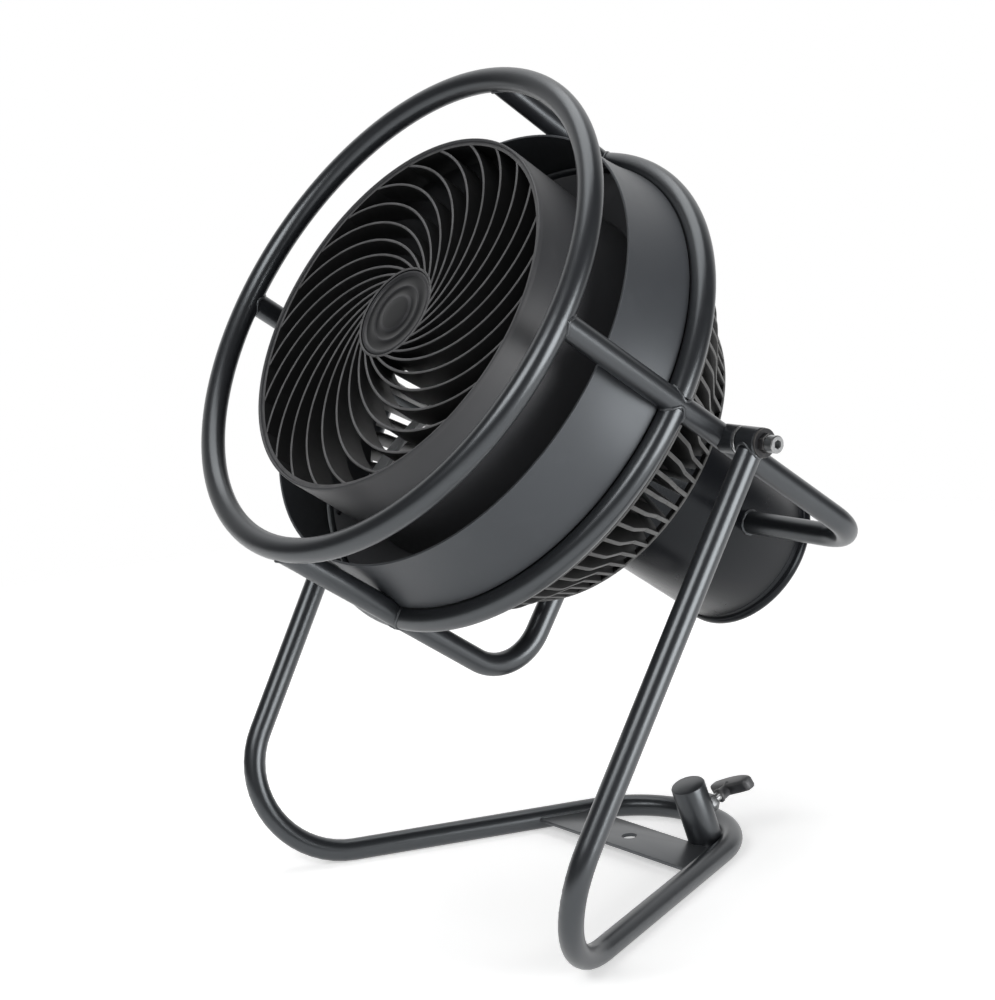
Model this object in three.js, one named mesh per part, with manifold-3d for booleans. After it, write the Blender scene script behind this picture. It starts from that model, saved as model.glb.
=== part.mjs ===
import * as THREE from 'three';
import { mergeVertices } from 'three/addons/utils/BufferGeometryUtils.js';
import Module from 'manifold-3d';

// Drum fan on a bent-tube floor stand, in millimetres, +Z up. X is the tilt axis. The fan blows
// towards -Y and upwards. Inside the head group, Z is the fan's axis, pointing the way it blows,
// and every "station" is a distance along that axis from the tilt axis.

const wasm = await Module();
wasm.setup();

// ---------- sizes ----------
const GAP = 0.3;
const TUBE_R = 19.05 / 2;
const TUBE_SIDES = 12;
const BEND_STEPS = 5;

// Stand
const PIVOT_HEIGHT = 378;
const TILT_DEG = 36;
const TOE_INSET = 18;
const TOE_Y = -237;
const HEEL_X = 61.5;
const HEEL_Y = 131;
const TOE_BEND_R = 75;
const HEEL_BEND_R = 82.5;
const STAND_SIDES = 16;

const PLATE_TOP = 12;
const PLATE_THICK = 3;
const PLATE_FRONT_Y = 28.4;
const PLATE_REAR_Y = 73.5;
const PLATE_HOLE_R = 6.5;
const PLATE_HOLE_Y = 50;

// Stand receiver and its clamp. Heights run along the receiver's own axis, from the clamp's axis.
const RECEIVER_X = 56;
const RECEIVER_Y = 77.9;
const RECEIVER_Z = 37;
const RECEIVER_LEAN_DEG = 17;
const RECEIVER_R = 14.3;
const RECEIVER_BORE_R = 8.1;
const RECEIVER_TOP = 28;
const RECEIVER_BOTTOM = -33;
const RECEIVER_CAP = 5;
const CLAMP_BOSS_R = 8.5;
const CLAMP_BOSS_END = 20;
const CLAMP_SCREW_R = 4;
const CLAMP_SCREW_TIP = 8.6;
const GRIP_START = 26;
const GRIP_WING = 43;
const GRIP_HALF_LENGTH = 34;
const GRIP_THICK = 10;
const GRIP_TIP_HALF = 2.5;
const GRIP_MIDDLE_HALF = 6;
const GRIP_CROWN = 9.5;
const GRIP_NECK_R = 5.2;
const GRIP_BEVEL = 1.5;
const GRIP_TURN_DEG = -20;

// Guard frame
const RING_R = 200;
const RING_STEPS = 44;
const FRONT_RING_STATION = 181;
const REAR_RING_STATION = 55.5;
const SIDE_LOOP_STATION = -179;
const END_LOOP_STATION = -75;
const LOOP_BEND_R = 45;

// Tilt pivots. The strut's boss reaches outwards from the strut's centre line.
const BOSS_R = 11;
const STRUT_BOSS_REACH = 18.5;
const FRICTION_WASHER_THICK = 2.4;
const YOKE_BOSS_HALF = 9.5;
const PIVOT_BORE_R = 4.3;
const FLAT_WASHER_R = 10.75;
const FLAT_WASHER_THICK = 2;
const LOCK_NUT_FLATS = 13;
const LOCK_NUT_THICK = 4;
const PIVOT_SCREW_R = 4;
const PIVOT_SCREW_HEAD_R = 6.5;
const PIVOT_SCREW_HEAD = 8;
const PIVOT_SCREW_GRIP = 8;
const SOCKET_FLATS = 6;

// Drum and duct. Both are set from the rear ring: the drum's flared edge tucks in ahead of it, and
// the duct's flange fills it.
const ROUND_STEPS = 52;
const DRUM_TUCK = 5;
const DRUM_AHEAD = 9.1;
const DRUM_LENGTH = 58.9;
const DRUM_FLARE = 8.5;
const DRUM_WALL = 2;
const DUCT_R = 150;
const DUCT_WALL = 2.5;
const DUCT_AHEAD = 2.1;
const DUCT_LENGTH = 121.4;
const DUCT_LIP_EDGE = 1.2;
const FLANGE_THICK = 2.5;
const RING_CLEARANCE = 0.675;
const FLANGE_INSET = 0.4;

// Front grille. Each vane follows one arc, which would pass the fan's axis at a near distance inside
// the hub. A vane's ends are rooted in the hub's wall and in the rim.
const BLADE_COUNT = 26;
const BLADE_ARC_R = 101;
const BLADE_ARC_NEAR = 29.4;
const BLADE_CENTRE_DEG = 130.5;
const BLADE_ROOT = 0.9;
const BLADE_THICK = 2;
const BLADE_STEPS = 6;
const BLADE_RECESS = 2.5;
const BLADE_DEPTH = 24;
const HUB_R = 38.5;
const HUB_WALL = 2;
const HUB_FLOOR = 3;
const HUB_RECESS = 6.5;
const GRILLE_RIM_WALL = 2.6;
const BADGE_INSET = 0.3;
const BADGE_RIM = 5.4;
const BADGE_DISH = 4;
const BADGE_BOSS_R = 16;

// Rear grille. Its rim fills the rear ring and has a flat lip behind the ring. The ribs run straight
// in from the lip to a corner, steeper to a second corner, and then in to the collar on the can.
const RIB_COUNT = 72;
const RIB_PHASE_DEG = 1.5;
const RIB_THICK = 2;
const RIB_DEPTH = 16;
const RIB_INSET = 0.5;
const REAR_RIM_WALL = 2.4;
const LIP_INSET = 1.5;
const LIP_BEHIND = 16;
const LIP_THICK = 2.5;
const REAR_CORNER = [150.4, -24];
const REAR_BACK = [137.5, -46];
const COLLAR_BACK = -57;
const COLLAR_WALL = 3;
const COLLAR_OVERHANG = 1;
const LUG_ANGLES_DEG = [45, 135, 225, 315];
const LUG_R = 6;
const LUG_THICK = 3;
const LUG_INSET = 6.9;
const LUG_SCREW_R = 2;
const LUG_SCREW_HEAD_R = 3.6;

// Motor
const CAN_R = 70.5;
const CAN_WALL = 2.5;
const CAN_FRONT = 10;
const CAN_REAR = -243;
const CAN_BEAD_R = 73;
const CAN_BEAD_BACK = -249;
const INNER_STEPS = 20;
const SMALL_STEPS = 16;
const SHAFT_R = 6;
const BEARING_R = 15.7;
const BEARING_LENGTH = 10;
const BEARING_SEAT_R = 16;
const BRACKET_THICK = 3.5;
const FRONT_BRACKET = 6;
const REAR_BRACKET = -132;
const STATOR_FRONT = -25;
const STATOR_REAR = -95;
const STATOR_R = 41.6;
const ROTOR_R = 40.8;
const CAP_FACE = -246;
const CAP_DEPTH = 9;
const CAP_WALL = 1.5;
const KNOB_R = 17;
const KNOB_WAIST = 2;
const KNOB_LENGTH = 15;
const KNOB_BAR = 6;
const SWITCH_WIDTH = 30;
const SWITCH_HEIGHT = 24;
const SWITCH_DEPTH = 22;
const SWITCH_SPINDLE_R = 3;
const SPINDLE_LENGTH = 16;
const GLAND_FROM_EDGE = 24.5;
const GLAND_R = 9;
const GLAND_BORE_R = 4.2;
const GLAND_NUT = 5;
const GLAND_DOME = 8;
const GLAND_THREAD = 10;

// Propeller
const PROPELLER_COUNT = 5;
const PROPELLER_R = 143.5;
const PROPELLER_HUB_R = 37;
const PROPELLER_FRONT = 94;
const PROPELLER_BACK = 46;
const PROPELLER_MIDDLE = 74;
const PROPELLER_BLADE_THICK = 3;
const ROOT_CHORD = 44;
const CHORD_GAIN = 62;
const TIP_ROUNDING = 22;
const ROOT_PITCH_DEG = 46;
const PITCH_DROP_DEG = 22;
const BLADE_CAMBER = 0.08;
const BLADE_SWEEP = 0.35;
const PROPELLER_WALL = 2.5;
const PROPELLER_NOSE = 8;
const SHAFT_BOSS_R = 13;
const SHAFT_BOSS_LENGTH = 32;
const PROPELLER_NUT_FLATS = 19;
const PROPELLER_NUT_THICK = 7;

// ---------- places that follow from the sizes ----------
const STRUT_BOSS_END = RING_R + STRUT_BOSS_REACH;
const FRICTION_WASHER_START = STRUT_BOSS_END + GAP;
const LEG_X = FRICTION_WASHER_START + FRICTION_WASHER_THICK + GAP + YOKE_BOSS_HALF;
const TOE_X = LEG_X - TOE_INSET;
const FLAT_WASHER_START = LEG_X + YOKE_BOSS_HALF + GAP;
const LOCK_NUT_START = FLAT_WASHER_START + FLAT_WASHER_THICK + GAP;
const SCREW_HEAD_START = LOCK_NUT_START + LOCK_NUT_THICK + GAP;
const CLAMP_SCREW_END = GRIP_WING - GRIP_MIDDLE_HALF;

const DRUM_REAR_R = RING_R - DRUM_TUCK;
const DRUM_REAR_STATION = REAR_RING_STATION + DRUM_AHEAD;
const REAR_RIM_R = RING_R - TUBE_R - RING_CLEARANCE;
const FLANGE_R = REAR_RIM_R - FLANGE_INSET;
const LUG_SCREW_RADIUS = FLANGE_R - LUG_INSET;
const LIP_R = RING_R - LIP_INSET;
const LIP_BACK = REAR_RING_STATION - LIP_BEHIND;
const DUCT_REAR_STATION = REAR_RING_STATION + DUCT_AHEAD;
const DUCT_LIP_STATION = DUCT_REAR_STATION + DUCT_LENGTH;
const BLADE_FRONT = DUCT_LIP_STATION - BLADE_RECESS;
const BLADE_BACK = BLADE_FRONT - BLADE_DEPTH;
const HUB_FACE = BLADE_FRONT - HUB_RECESS;
const GRILLE_RIM_R = DUCT_R - DUCT_WALL - GAP;
const BLADE_CENTRE_R = BLADE_ARC_R - BLADE_ARC_NEAR;
const GLAND_OFFSET = CAN_R - GLAND_FROM_EDGE;

// ---------- finishes ----------
const FINISH = {
  powderCoat: { color: 0x1b1c1f, roughness: 0.42, metalness: 0.35 },
  drumCoat: { color: 0x1f2023, roughness: 0.4, metalness: 0.35 },
  blackPlastic: { color: 0x1a1a1b, roughness: 0.55, metalness: 0.0 },
  badge: { color: 0x26272a, roughness: 0.3, metalness: 0.2 },
  greyPlastic: { color: 0x8d9092, roughness: 0.5, metalness: 0.0 },
  brightSteel: { color: 0xc4c5c7, roughness: 0.28, metalness: 0.9 },
  blackScrew: { color: 0x202023, roughness: 0.4, metalness: 0.7 },
  castGrip: { color: 0x3a3b3e, roughness: 0.6, metalness: 0.5 },
  motorSteel: { color: 0x6d7074, roughness: 0.5, metalness: 0.8 },
};

// ---------- solids ----------
const radians = THREE.MathUtils.degToRad;

function shellVolume(geometry) {
  const position = geometry.attributes.position;
  const index = geometry.index;
  const [a, b, c] = [new THREE.Vector3(), new THREE.Vector3(), new THREE.Vector3()];
  let volume = 0;
  for (let i = 0; i < index.count; i += 3) {
    a.fromBufferAttribute(position, index.getX(i));
    b.fromBufferAttribute(position, index.getX(i + 1));
    c.fromBufferAttribute(position, index.getX(i + 2));
    volume += a.dot(b.cross(c)) / 6;
  }
  return volume;
}

// Welds a geometry's vertices and turns its faces outwards.
function welded(geometry) {
  const bare = geometry.clone();
  bare.deleteAttribute('normal');
  bare.deleteAttribute('uv');
  const solid = mergeVertices(bare, 1e-4);
  if (shellVolume(solid) < 0) {
    const index = solid.index.array;
    for (let i = 0; i < index.length; i += 3) {
      [index[i], index[i + 1]] = [index[i + 1], index[i]];
    }
  }
  return solid;
}

function toManifold(geometry) {
  const solid = welded(geometry);
  const vertProperties = new Float32Array(solid.attributes.position.array);
  const triVerts = new Uint32Array(solid.index.array);
  return new wasm.Manifold(new wasm.Mesh({ numProp: 3, vertProperties, triVerts }));
}

function fromManifold(manifold) {
  const mesh = manifold.getMesh();
  const geometry = new THREE.BufferGeometry();
  geometry.setAttribute('position', new THREE.BufferAttribute(mesh.vertProperties, 3));
  geometry.setIndex(new THREE.BufferAttribute(mesh.triVerts, 1));
  return geometry;
}

function joined(geometries) {
  const [first, ...others] = geometries.map(toManifold);
  return fromManifold(others.reduce((sum, other) => sum.add(other), first));
}

function cutBy(geometry, cutters) {
  const start = toManifold(geometry);
  return fromManifold(cutters.map(toManifold).reduce((left, cutter) => left.subtract(cutter), start));
}

// Revolves a closed [radius, height] outline about Z.
function revolved(outline, steps) {
  const points = [...outline, outline[0]].map(([radius, height]) => new THREE.Vector2(radius, height));
  return welded(new THREE.LatheGeometry(points, steps).rotateX(Math.PI / 2));
}

// Revolves an outline that starts and ends on the axis.
function turned(outline, steps) {
  const points = outline.map(([radius, height]) => new THREE.Vector2(radius, height));
  return welded(new THREE.LatheGeometry(points, steps).rotateX(Math.PI / 2));
}

function cylinder(radius, from, to, steps) {
  return turned([[0, from], [radius, from], [radius, to], [0, to]], steps);
}

function sleeve(inner, outer, from, to, steps) {
  return revolved([[inner, from], [outer, from], [outer, to], [inner, to]], steps);
}

function hexOutline(flats, hole) {
  const shape = new THREE.Shape();
  const corner = flats / 2 / Math.cos(Math.PI / 6);
  for (let i = 0; i < 6; i++) {
    const angle = (i * Math.PI) / 3;
    shape[i ? 'lineTo' : 'moveTo'](corner * Math.cos(angle), corner * Math.sin(angle));
  }
  if (hole) {
    shape.holes.push(new THREE.Path().absarc(0, 0, hole, 0, Math.PI * 2, true));
  }
  return shape;
}

function slab(shape, from, to, curveSegments = 8) {
  const options = { depth: to - from, bevelEnabled: false, curveSegments };
  return new THREE.ExtrudeGeometry(shape, options).translate(0, 0, from);
}

// A path given by its stations, so that straight runs take one step and bends take several. The
// cross-section stays square to "up" along the whole path.
class BentPath extends THREE.Curve {
  constructor(corners, bendRadii, up) {
    super();
    this.up = up;
    this.points = [];
    this.tangents = [];
    const heading = (i) => corners[i + 1].clone().sub(corners[i]).normalize();
    this.addStation(corners[0], heading(0));
    for (let i = 1; i < corners.length - 1; i++) {
      this.addBend(corners[i], heading(i - 1), heading(i), bendRadii[i - 1]);
    }
    this.addStation(corners[corners.length - 1], heading(corners.length - 2));
  }

  addStation(point, tangent) {
    this.points.push(point.clone());
    this.tangents.push(tangent.clone());
  }

  addBend(corner, before, after, radius) {
    const turn = before.angleTo(after);
    const start = corner.clone().addScaledVector(before, -radius * Math.tan(turn / 2));
    const inward = after.clone().addScaledVector(before, -after.dot(before)).normalize();
    for (let step = 0; step <= BEND_STEPS; step++) {
      const angle = (turn * step) / BEND_STEPS;
      const point = start.clone().addScaledVector(before, radius * Math.sin(angle));
      point.addScaledVector(inward, radius * (1 - Math.cos(angle)));
      const tangent = before.clone().multiplyScalar(Math.cos(angle));
      this.addStation(point, tangent.addScaledVector(inward, Math.sin(angle)));
    }
  }

  get steps() {
    return this.points.length - 1;
  }

  getPointAt(u, target = new THREE.Vector3()) {
    return target.copy(this.points[Math.round(u * this.steps)]);
  }

  getTangentAt(u, target = new THREE.Vector3()) {
    return target.copy(this.tangents[Math.round(u * this.steps)]);
  }

  computeFrenetFrames() {
    const normals = this.tangents.map((tangent) => {
      return this.up.clone().addScaledVector(tangent, -this.up.dot(tangent)).normalize();
    });
    const binormals = this.tangents.map((tangent, i) => tangent.clone().cross(normals[i]));
    return { tangents: this.tangents, normals, binormals };
  }
}

// A round bar along a path. A half-step turn puts flats, not corners, square to "up".
function bar(path, radius, sides, turn = 0) {
  const section = new THREE.Shape();
  for (let i = 0; i < sides; i++) {
    const angle = ((i + turn) * Math.PI * 2) / sides;
    section[i ? 'lineTo' : 'moveTo'](radius * Math.cos(angle), radius * Math.sin(angle));
  }
  return new THREE.ExtrudeGeometry(section, { steps: path.steps, extrudePath: path });
}

function ringTube(radius, station) {
  const torus = new THREE.TorusGeometry(RING_R, radius, TUBE_SIDES, RING_STEPS);
  return torus.translate(0, 0, station);
}

function piece(name, geometry, finish) {
  const solid = welded(geometry);
  solid.computeVertexNormals();
  const mesh = new THREE.Mesh(solid, new THREE.MeshStandardMaterial(FINISH[finish]));
  mesh.name = name;
  return mesh;
}

// ---------- stand ----------
const FOOT_HEIGHT = TUBE_R * Math.cos(Math.PI / STAND_SIDES);

function yokePath() {
  const half = [[LEG_X, 0, PIVOT_HEIGHT], [TOE_X, TOE_Y, FOOT_HEIGHT], [HEEL_X, HEEL_Y, FOOT_HEIGHT]];
  const mirrored = half.map(([x, y, z]) => [-x, y, z]).reverse();
  const corners = [...half, ...mirrored].map((corner) => new THREE.Vector3(...corner));
  const radii = [TOE_BEND_R, HEEL_BEND_R, HEEL_BEND_R, TOE_BEND_R];
  return new BentPath(corners, radii, new THREE.Vector3(0, 0, 1));
}

function yokeBar(radius) {
  return bar(yokePath(), radius, STAND_SIDES, 0.5);
}

// Lays a stack that is modelled along +Z onto the X axis, outwards on one side.
function alongPivot(geometry, side) {
  return geometry.rotateY((side * Math.PI) / 2);
}

function yokeTube() {
  const bossClearance = [1, -1].map((side) => {
    const clear = cylinder(BOSS_R + GAP, LEG_X - 2 * BOSS_R, LEG_X + 2 * BOSS_R, SMALL_STEPS);
    return alongPivot(clear, side).translate(0, 0, PIVOT_HEIGHT);
  });
  return cutBy(yokeBar(TUBE_R), bossClearance);
}

function yokeBoss(side) {
  const boss = sleeve(PIVOT_BORE_R, BOSS_R, LEG_X - YOKE_BOSS_HALF, LEG_X + YOKE_BOSS_HALF, SMALL_STEPS);
  return alongPivot(boss, side);
}

function receiverMatrix() {
  const matrix = new THREE.Matrix4().makeRotationX(radians(RECEIVER_LEAN_DEG));
  return matrix.setPosition(RECEIVER_X, RECEIVER_Y, RECEIVER_Z);
}

// The cross plate's sides are coped round the runners and its rear edge round the receiver.
function basePlate() {
  const outline = new THREE.Shape();
  outline.moveTo(-TOE_X, PLATE_FRONT_Y);
  outline.lineTo(TOE_X, PLATE_FRONT_Y);
  outline.lineTo(TOE_X, PLATE_REAR_Y);
  outline.lineTo(-TOE_X, PLATE_REAR_Y);
  outline.holes.push(new THREE.Path().absarc(0, PLATE_HOLE_Y, PLATE_HOLE_R, 0, Math.PI * 2, true));
  const strip = slab(outline, PLATE_TOP - PLATE_THICK, PLATE_TOP, 12);
  const clearance = RECEIVER_R + GAP;
  const receiver = cylinder(clearance, 2 * RECEIVER_BOTTOM, RECEIVER_TOP, 32).applyMatrix4(receiverMatrix());
  const coped = toManifold(cutBy(strip, [yokeBar(TUBE_R + GAP), receiver]));
  const between = slab(insideRunners(), 0, 2 * PLATE_TOP);
  return fromManifold(coped.intersect(toManifold(between)));
}

// The area between the runners' centre lines.
function insideRunners() {
  const shape = new THREE.Shape();
  shape.moveTo(TOE_X, TOE_Y);
  shape.lineTo(HEEL_X, HEEL_Y);
  shape.lineTo(-HEEL_X, HEEL_Y);
  shape.lineTo(-TOE_X, TOE_Y);
  return shape;
}

function standReceiver() {
  const edge = 1;
  const body = revolved([
    [0, RECEIVER_TOP - RECEIVER_CAP],
    [RECEIVER_BORE_R, RECEIVER_TOP - RECEIVER_CAP],
    [RECEIVER_BORE_R, RECEIVER_BOTTOM + edge],
    [RECEIVER_BORE_R + edge, RECEIVER_BOTTOM],
    [RECEIVER_R, RECEIVER_BOTTOM],
    [RECEIVER_R, RECEIVER_TOP - edge],
    [RECEIVER_R - edge, RECEIVER_TOP],
    [0, RECEIVER_TOP],
  ], 32);
  const screwHole = cylinder(CLAMP_SCREW_R + GAP, 0, 2 * RECEIVER_R, 16).rotateX(-Math.PI / 2);
  const runner = yokeBar(TUBE_R + GAP).applyMatrix4(receiverMatrix().invert());
  return cutBy(body, [screwHole, runner]);
}

function clampBoss() {
  const boss = sleeve(CLAMP_SCREW_R + GAP, CLAMP_BOSS_R, RECEIVER_BORE_R, CLAMP_BOSS_END, 16);
  const wall = cylinder(RECEIVER_R + GAP, RECEIVER_BOTTOM, RECEIVER_TOP, 32);
  return cutBy(boss.rotateX(-Math.PI / 2), [wall]);
}

function clampScrew() {
  const tipEdge = 1;
  return turned([
    [0, CLAMP_SCREW_TIP],
    [CLAMP_SCREW_R - tipEdge, CLAMP_SCREW_TIP],
    [CLAMP_SCREW_R, CLAMP_SCREW_TIP + tipEdge],
    [CLAMP_SCREW_R, CLAMP_SCREW_END],
    [0, CLAMP_SCREW_END],
  ], 16).rotateX(-Math.PI / 2);
}

// A cast T grip: a tapered neck with a wing that thins towards both ends.
function clampGrip() {
  const wing = new THREE.Shape();
  wing.moveTo(-GRIP_HALF_LENGTH, -GRIP_TIP_HALF);
  wing.lineTo(-2 * GRIP_NECK_R, -GRIP_MIDDLE_HALF);
  wing.lineTo(2 * GRIP_NECK_R, -GRIP_MIDDLE_HALF);
  wing.lineTo(GRIP_HALF_LENGTH, -GRIP_TIP_HALF);
  wing.lineTo(GRIP_HALF_LENGTH, GRIP_TIP_HALF);
  wing.quadraticCurveTo(0, GRIP_CROWN, -GRIP_HALF_LENGTH, GRIP_TIP_HALF);
  const depth = GRIP_THICK - 2 * GRIP_BEVEL;
  const wingSolid = new THREE.ExtrudeGeometry(wing, {
    depth,
    curveSegments: 6,
    bevelSize: GRIP_BEVEL,
    bevelThickness: GRIP_BEVEL,
    bevelOffset: -GRIP_BEVEL,
    bevelSegments: 1,
  });
  wingSolid.translate(0, GRIP_WING, -depth / 2).rotateY(radians(GRIP_TURN_DEG));
  const collar = 1.5;
  const neck = turned([
    [0, GRIP_START],
    [GRIP_NECK_R - GAP, GRIP_START],
    [GRIP_NECK_R + GAP, GRIP_START + collar],
    [GRIP_NECK_R, GRIP_WING - GRIP_MIDDLE_HALF],
    [GRIP_NECK_R, GRIP_WING],
    [0, GRIP_WING],
  ], 16).rotateX(-Math.PI / 2);
  const bore = cylinder(CLAMP_SCREW_R + GAP, GRIP_START - 1, CLAMP_SCREW_END + GAP, 16);
  return cutBy(joined([neck, wingSolid]), [bore.rotateX(-Math.PI / 2)]);
}

// ---------- guard frame ----------
const LOOPS = [
  { name: 'strut_right', angle: 0, back: SIDE_LOOP_STATION },
  { name: 'strut_top', angle: 90, back: END_LOOP_STATION },
  { name: 'strut_left', angle: 180, back: SIDE_LOOP_STATION },
  { name: 'strut_bottom', angle: 270, back: END_LOOP_STATION },
];

function strutBar(loop, radius) {
  const corners = [
    new THREE.Vector3(RING_R, 0, FRONT_RING_STATION),
    new THREE.Vector3(RING_R, 0, loop.back),
    new THREE.Vector3(CAN_R - TUBE_R, 0, loop.back),
  ];
  const path = new BentPath(corners, [LOOP_BEND_R], new THREE.Vector3(0, 1, 0));
  return bar(path, radius, TUBE_SIDES).rotateZ(radians(loop.angle));
}

// Each strut is coped on the front ring and on the motor can.
function strut(loop) {
  const can = cylinder(CAN_R + GAP, CAN_BEAD_BACK, CAN_FRONT, ROUND_STEPS);
  return cutBy(strutBar(loop, TUBE_R), [ringTube(TUBE_R + GAP, FRONT_RING_STATION), can]);
}

// A quarter of the rear ring, coped on the struts at its two ends.
function rearArc(quarter) {
  const steps = RING_STEPS / 4;
  const arc = new THREE.Shape();
  arc.absarc(0, 0, TUBE_R, 0, Math.PI * 2);
  const points = [];
  for (let i = 0; i <= steps; i++) {
    const angle = (quarter + i / steps) * (Math.PI / 2);
    points.push(new THREE.Vector3(Math.cos(angle), Math.sin(angle), 0));
  }
  const path = new BentPath([points[0], points[1]], [], new THREE.Vector3(0, 0, 1));
  path.points = points.map((p) => p.clone().multiplyScalar(RING_R).setZ(REAR_RING_STATION));
  path.tangents = points.map((p) => new THREE.Vector3(-p.y, p.x, 0));
  const cutters = LOOPS.map((loop) => strutBar(loop, TUBE_R + GAP));
  return cutBy(bar(path, TUBE_R, TUBE_SIDES), cutters);
}

function strutBoss(side) {
  const boss = sleeve(PIVOT_BORE_R, BOSS_R, RING_R - 3, STRUT_BOSS_END, SMALL_STEPS);
  return cutBy(alongPivot(boss, side), LOOPS.map((loop) => strutBar(loop, TUBE_R + GAP)));
}

// ---------- tilt pivots ----------
function frictionWasher(side) {
  const end = FRICTION_WASHER_START + FRICTION_WASHER_THICK;
  return alongPivot(sleeve(PIVOT_BORE_R, BOSS_R, FRICTION_WASHER_START, end, SMALL_STEPS), side);
}

function flatWasher(side) {
  const end = FLAT_WASHER_START + FLAT_WASHER_THICK;
  return alongPivot(sleeve(PIVOT_BORE_R, FLAT_WASHER_R, FLAT_WASHER_START, end, SMALL_STEPS), side);
}

function lockNut(side) {
  const end = LOCK_NUT_START + LOCK_NUT_THICK;
  return alongPivot(slab(hexOutline(LOCK_NUT_FLATS, PIVOT_BORE_R), LOCK_NUT_START, end, 8), side);
}

function pivotScrew(side) {
  const edge = 0.8;
  const end = SCREW_HEAD_START + PIVOT_SCREW_HEAD;
  const tip = STRUT_BOSS_END - PIVOT_SCREW_GRIP;
  const blank = turned([
    [0, tip],
    [PIVOT_SCREW_R, tip],
    [PIVOT_SCREW_R, SCREW_HEAD_START],
    [PIVOT_SCREW_HEAD_R, SCREW_HEAD_START],
    [PIVOT_SCREW_HEAD_R, end - edge],
    [PIVOT_SCREW_HEAD_R - edge, end],
    [0, end],
  ], SMALL_STEPS);
  const socket = slab(hexOutline(SOCKET_FLATS), end - 0.6 * PIVOT_SCREW_HEAD, end + 1);
  return alongPivot(cutBy(blank, [socket]), side);
}

// ---------- drum and duct ----------
function drumOutline() {
  const steps = 3;
  const outer = [];
  for (let i = 0; i <= steps; i++) {
    const share = i / steps;
    const station = DRUM_REAR_STATION + DRUM_LENGTH * (1 - share);
    outer.push([DRUM_REAR_R - DRUM_FLARE * (1 - share ** 2.2), station]);
  }
  const inner = outer.map(([radius, station]) => [radius - DRUM_WALL, station]).reverse();
  return [...outer, ...inner];
}

// The drum's flared rear edge is notched where the struts pass.
function drumShell() {
  const cutters = LOOPS.map((loop) => strutBar(loop, TUBE_R + GAP));
  return cutBy(revolved(drumOutline(), ROUND_STEPS), cutters);
}

function lugScrewHoles(radius, from, to) {
  return LUG_ANGLES_DEG.map((angle) => {
    const hole = cylinder(radius, from, to, 12).translate(LUG_SCREW_RADIUS, 0, 0);
    return hole.rotateZ(radians(angle));
  });
}

function nozzleDuct() {
  const inner = DUCT_R - DUCT_WALL;
  const webFront = DUCT_REAR_STATION + FLANGE_THICK;
  const duct = revolved([
    [inner, DUCT_REAR_STATION],
    [FLANGE_R, DUCT_REAR_STATION],
    [FLANGE_R, webFront],
    [DUCT_R, webFront],
    [DUCT_R, DUCT_LIP_STATION - DUCT_LIP_EDGE],
    [DUCT_R - DUCT_LIP_EDGE, DUCT_LIP_STATION],
    [inner, DUCT_LIP_STATION - DUCT_LIP_EDGE],
  ], ROUND_STEPS);
  const holes = lugScrewHoles(LUG_SCREW_R + GAP, DUCT_REAR_STATION - 1, webFront + 1);
  return cutBy(duct, holes);
}

// ---------- front grille ----------
// The turn, seen from the arc's centre, at which a vane reaches a radius about the fan's axis.
function bladeTurnAt(radius) {
  const [far, own] = [BLADE_CENTRE_R, BLADE_ARC_R];
  const opening = Math.acos((radius ** 2 - far ** 2 - own ** 2) / (2 * far * own));
  return radians(BLADE_CENTRE_DEG) - opening;
}

function spiralBlade() {
  const cx = BLADE_CENTRE_R * Math.cos(radians(BLADE_CENTRE_DEG));
  const cy = BLADE_CENTRE_R * Math.sin(radians(BLADE_CENTRE_DEG));
  const start = bladeTurnAt(HUB_R - BLADE_ROOT);
  const end = bladeTurnAt(GRILLE_RIM_R - GRILLE_RIM_WALL + BLADE_ROOT);
  const half = BLADE_THICK / 2;
  const outline = new THREE.Shape();
  outline.absarc(cx, cy, BLADE_ARC_R + half, start, end);
  outline.absarc(cx, cy, BLADE_ARC_R - half, end, start, true);
  return slab(outline, BLADE_BACK, BLADE_FRONT, BLADE_STEPS);
}

function frontGrille() {
  const rim = sleeve(GRILLE_RIM_R - GRILLE_RIM_WALL, GRILLE_RIM_R, BLADE_BACK, BLADE_FRONT, ROUND_STEPS);
  const hub = turned([
    [0, HUB_FACE - HUB_FLOOR],
    [HUB_R - HUB_WALL, HUB_FACE - HUB_FLOOR],
    [HUB_R - HUB_WALL, BLADE_BACK],
    [HUB_R, BLADE_BACK],
    [HUB_R, BLADE_FRONT],
    [HUB_R - HUB_WALL, BLADE_FRONT],
    [HUB_R - HUB_WALL, HUB_FACE],
    [0, HUB_FACE],
  ], BLADE_COUNT);
  const blades = [];
  for (let i = 0; i < BLADE_COUNT; i++) {
    blades.push(spiralBlade().rotateZ((i * Math.PI * 2) / BLADE_COUNT));
  }
  return joined([rim, hub, ...blades]);
}

// A plain cap of concentric rings in the grille's hub.
function hubBadge() {
  const back = HUB_FACE + GAP;
  const radius = HUB_R - HUB_WALL - BADGE_INSET;
  return turned([
    [0, back],
    [radius, back],
    [radius, back + BADGE_RIM - 1],
    [radius - 1, back + BADGE_RIM],
    [radius - 4, back + BADGE_RIM],
    [radius - 5.5, back + BADGE_DISH],
    [BADGE_BOSS_R, back + BADGE_DISH],
    [BADGE_BOSS_R - 2, back + BADGE_DISH + 1],
    [0, back + BADGE_RIM],
  ], 32);
}

// ---------- rear grille ----------
// The direction across an edge of the rib, towards its inner side.
function edgeNormal([fromR, fromStation], [toR, toStation]) {
  return new THREE.Vector2(toStation - fromStation, fromR - toR).normalize();
}

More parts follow.
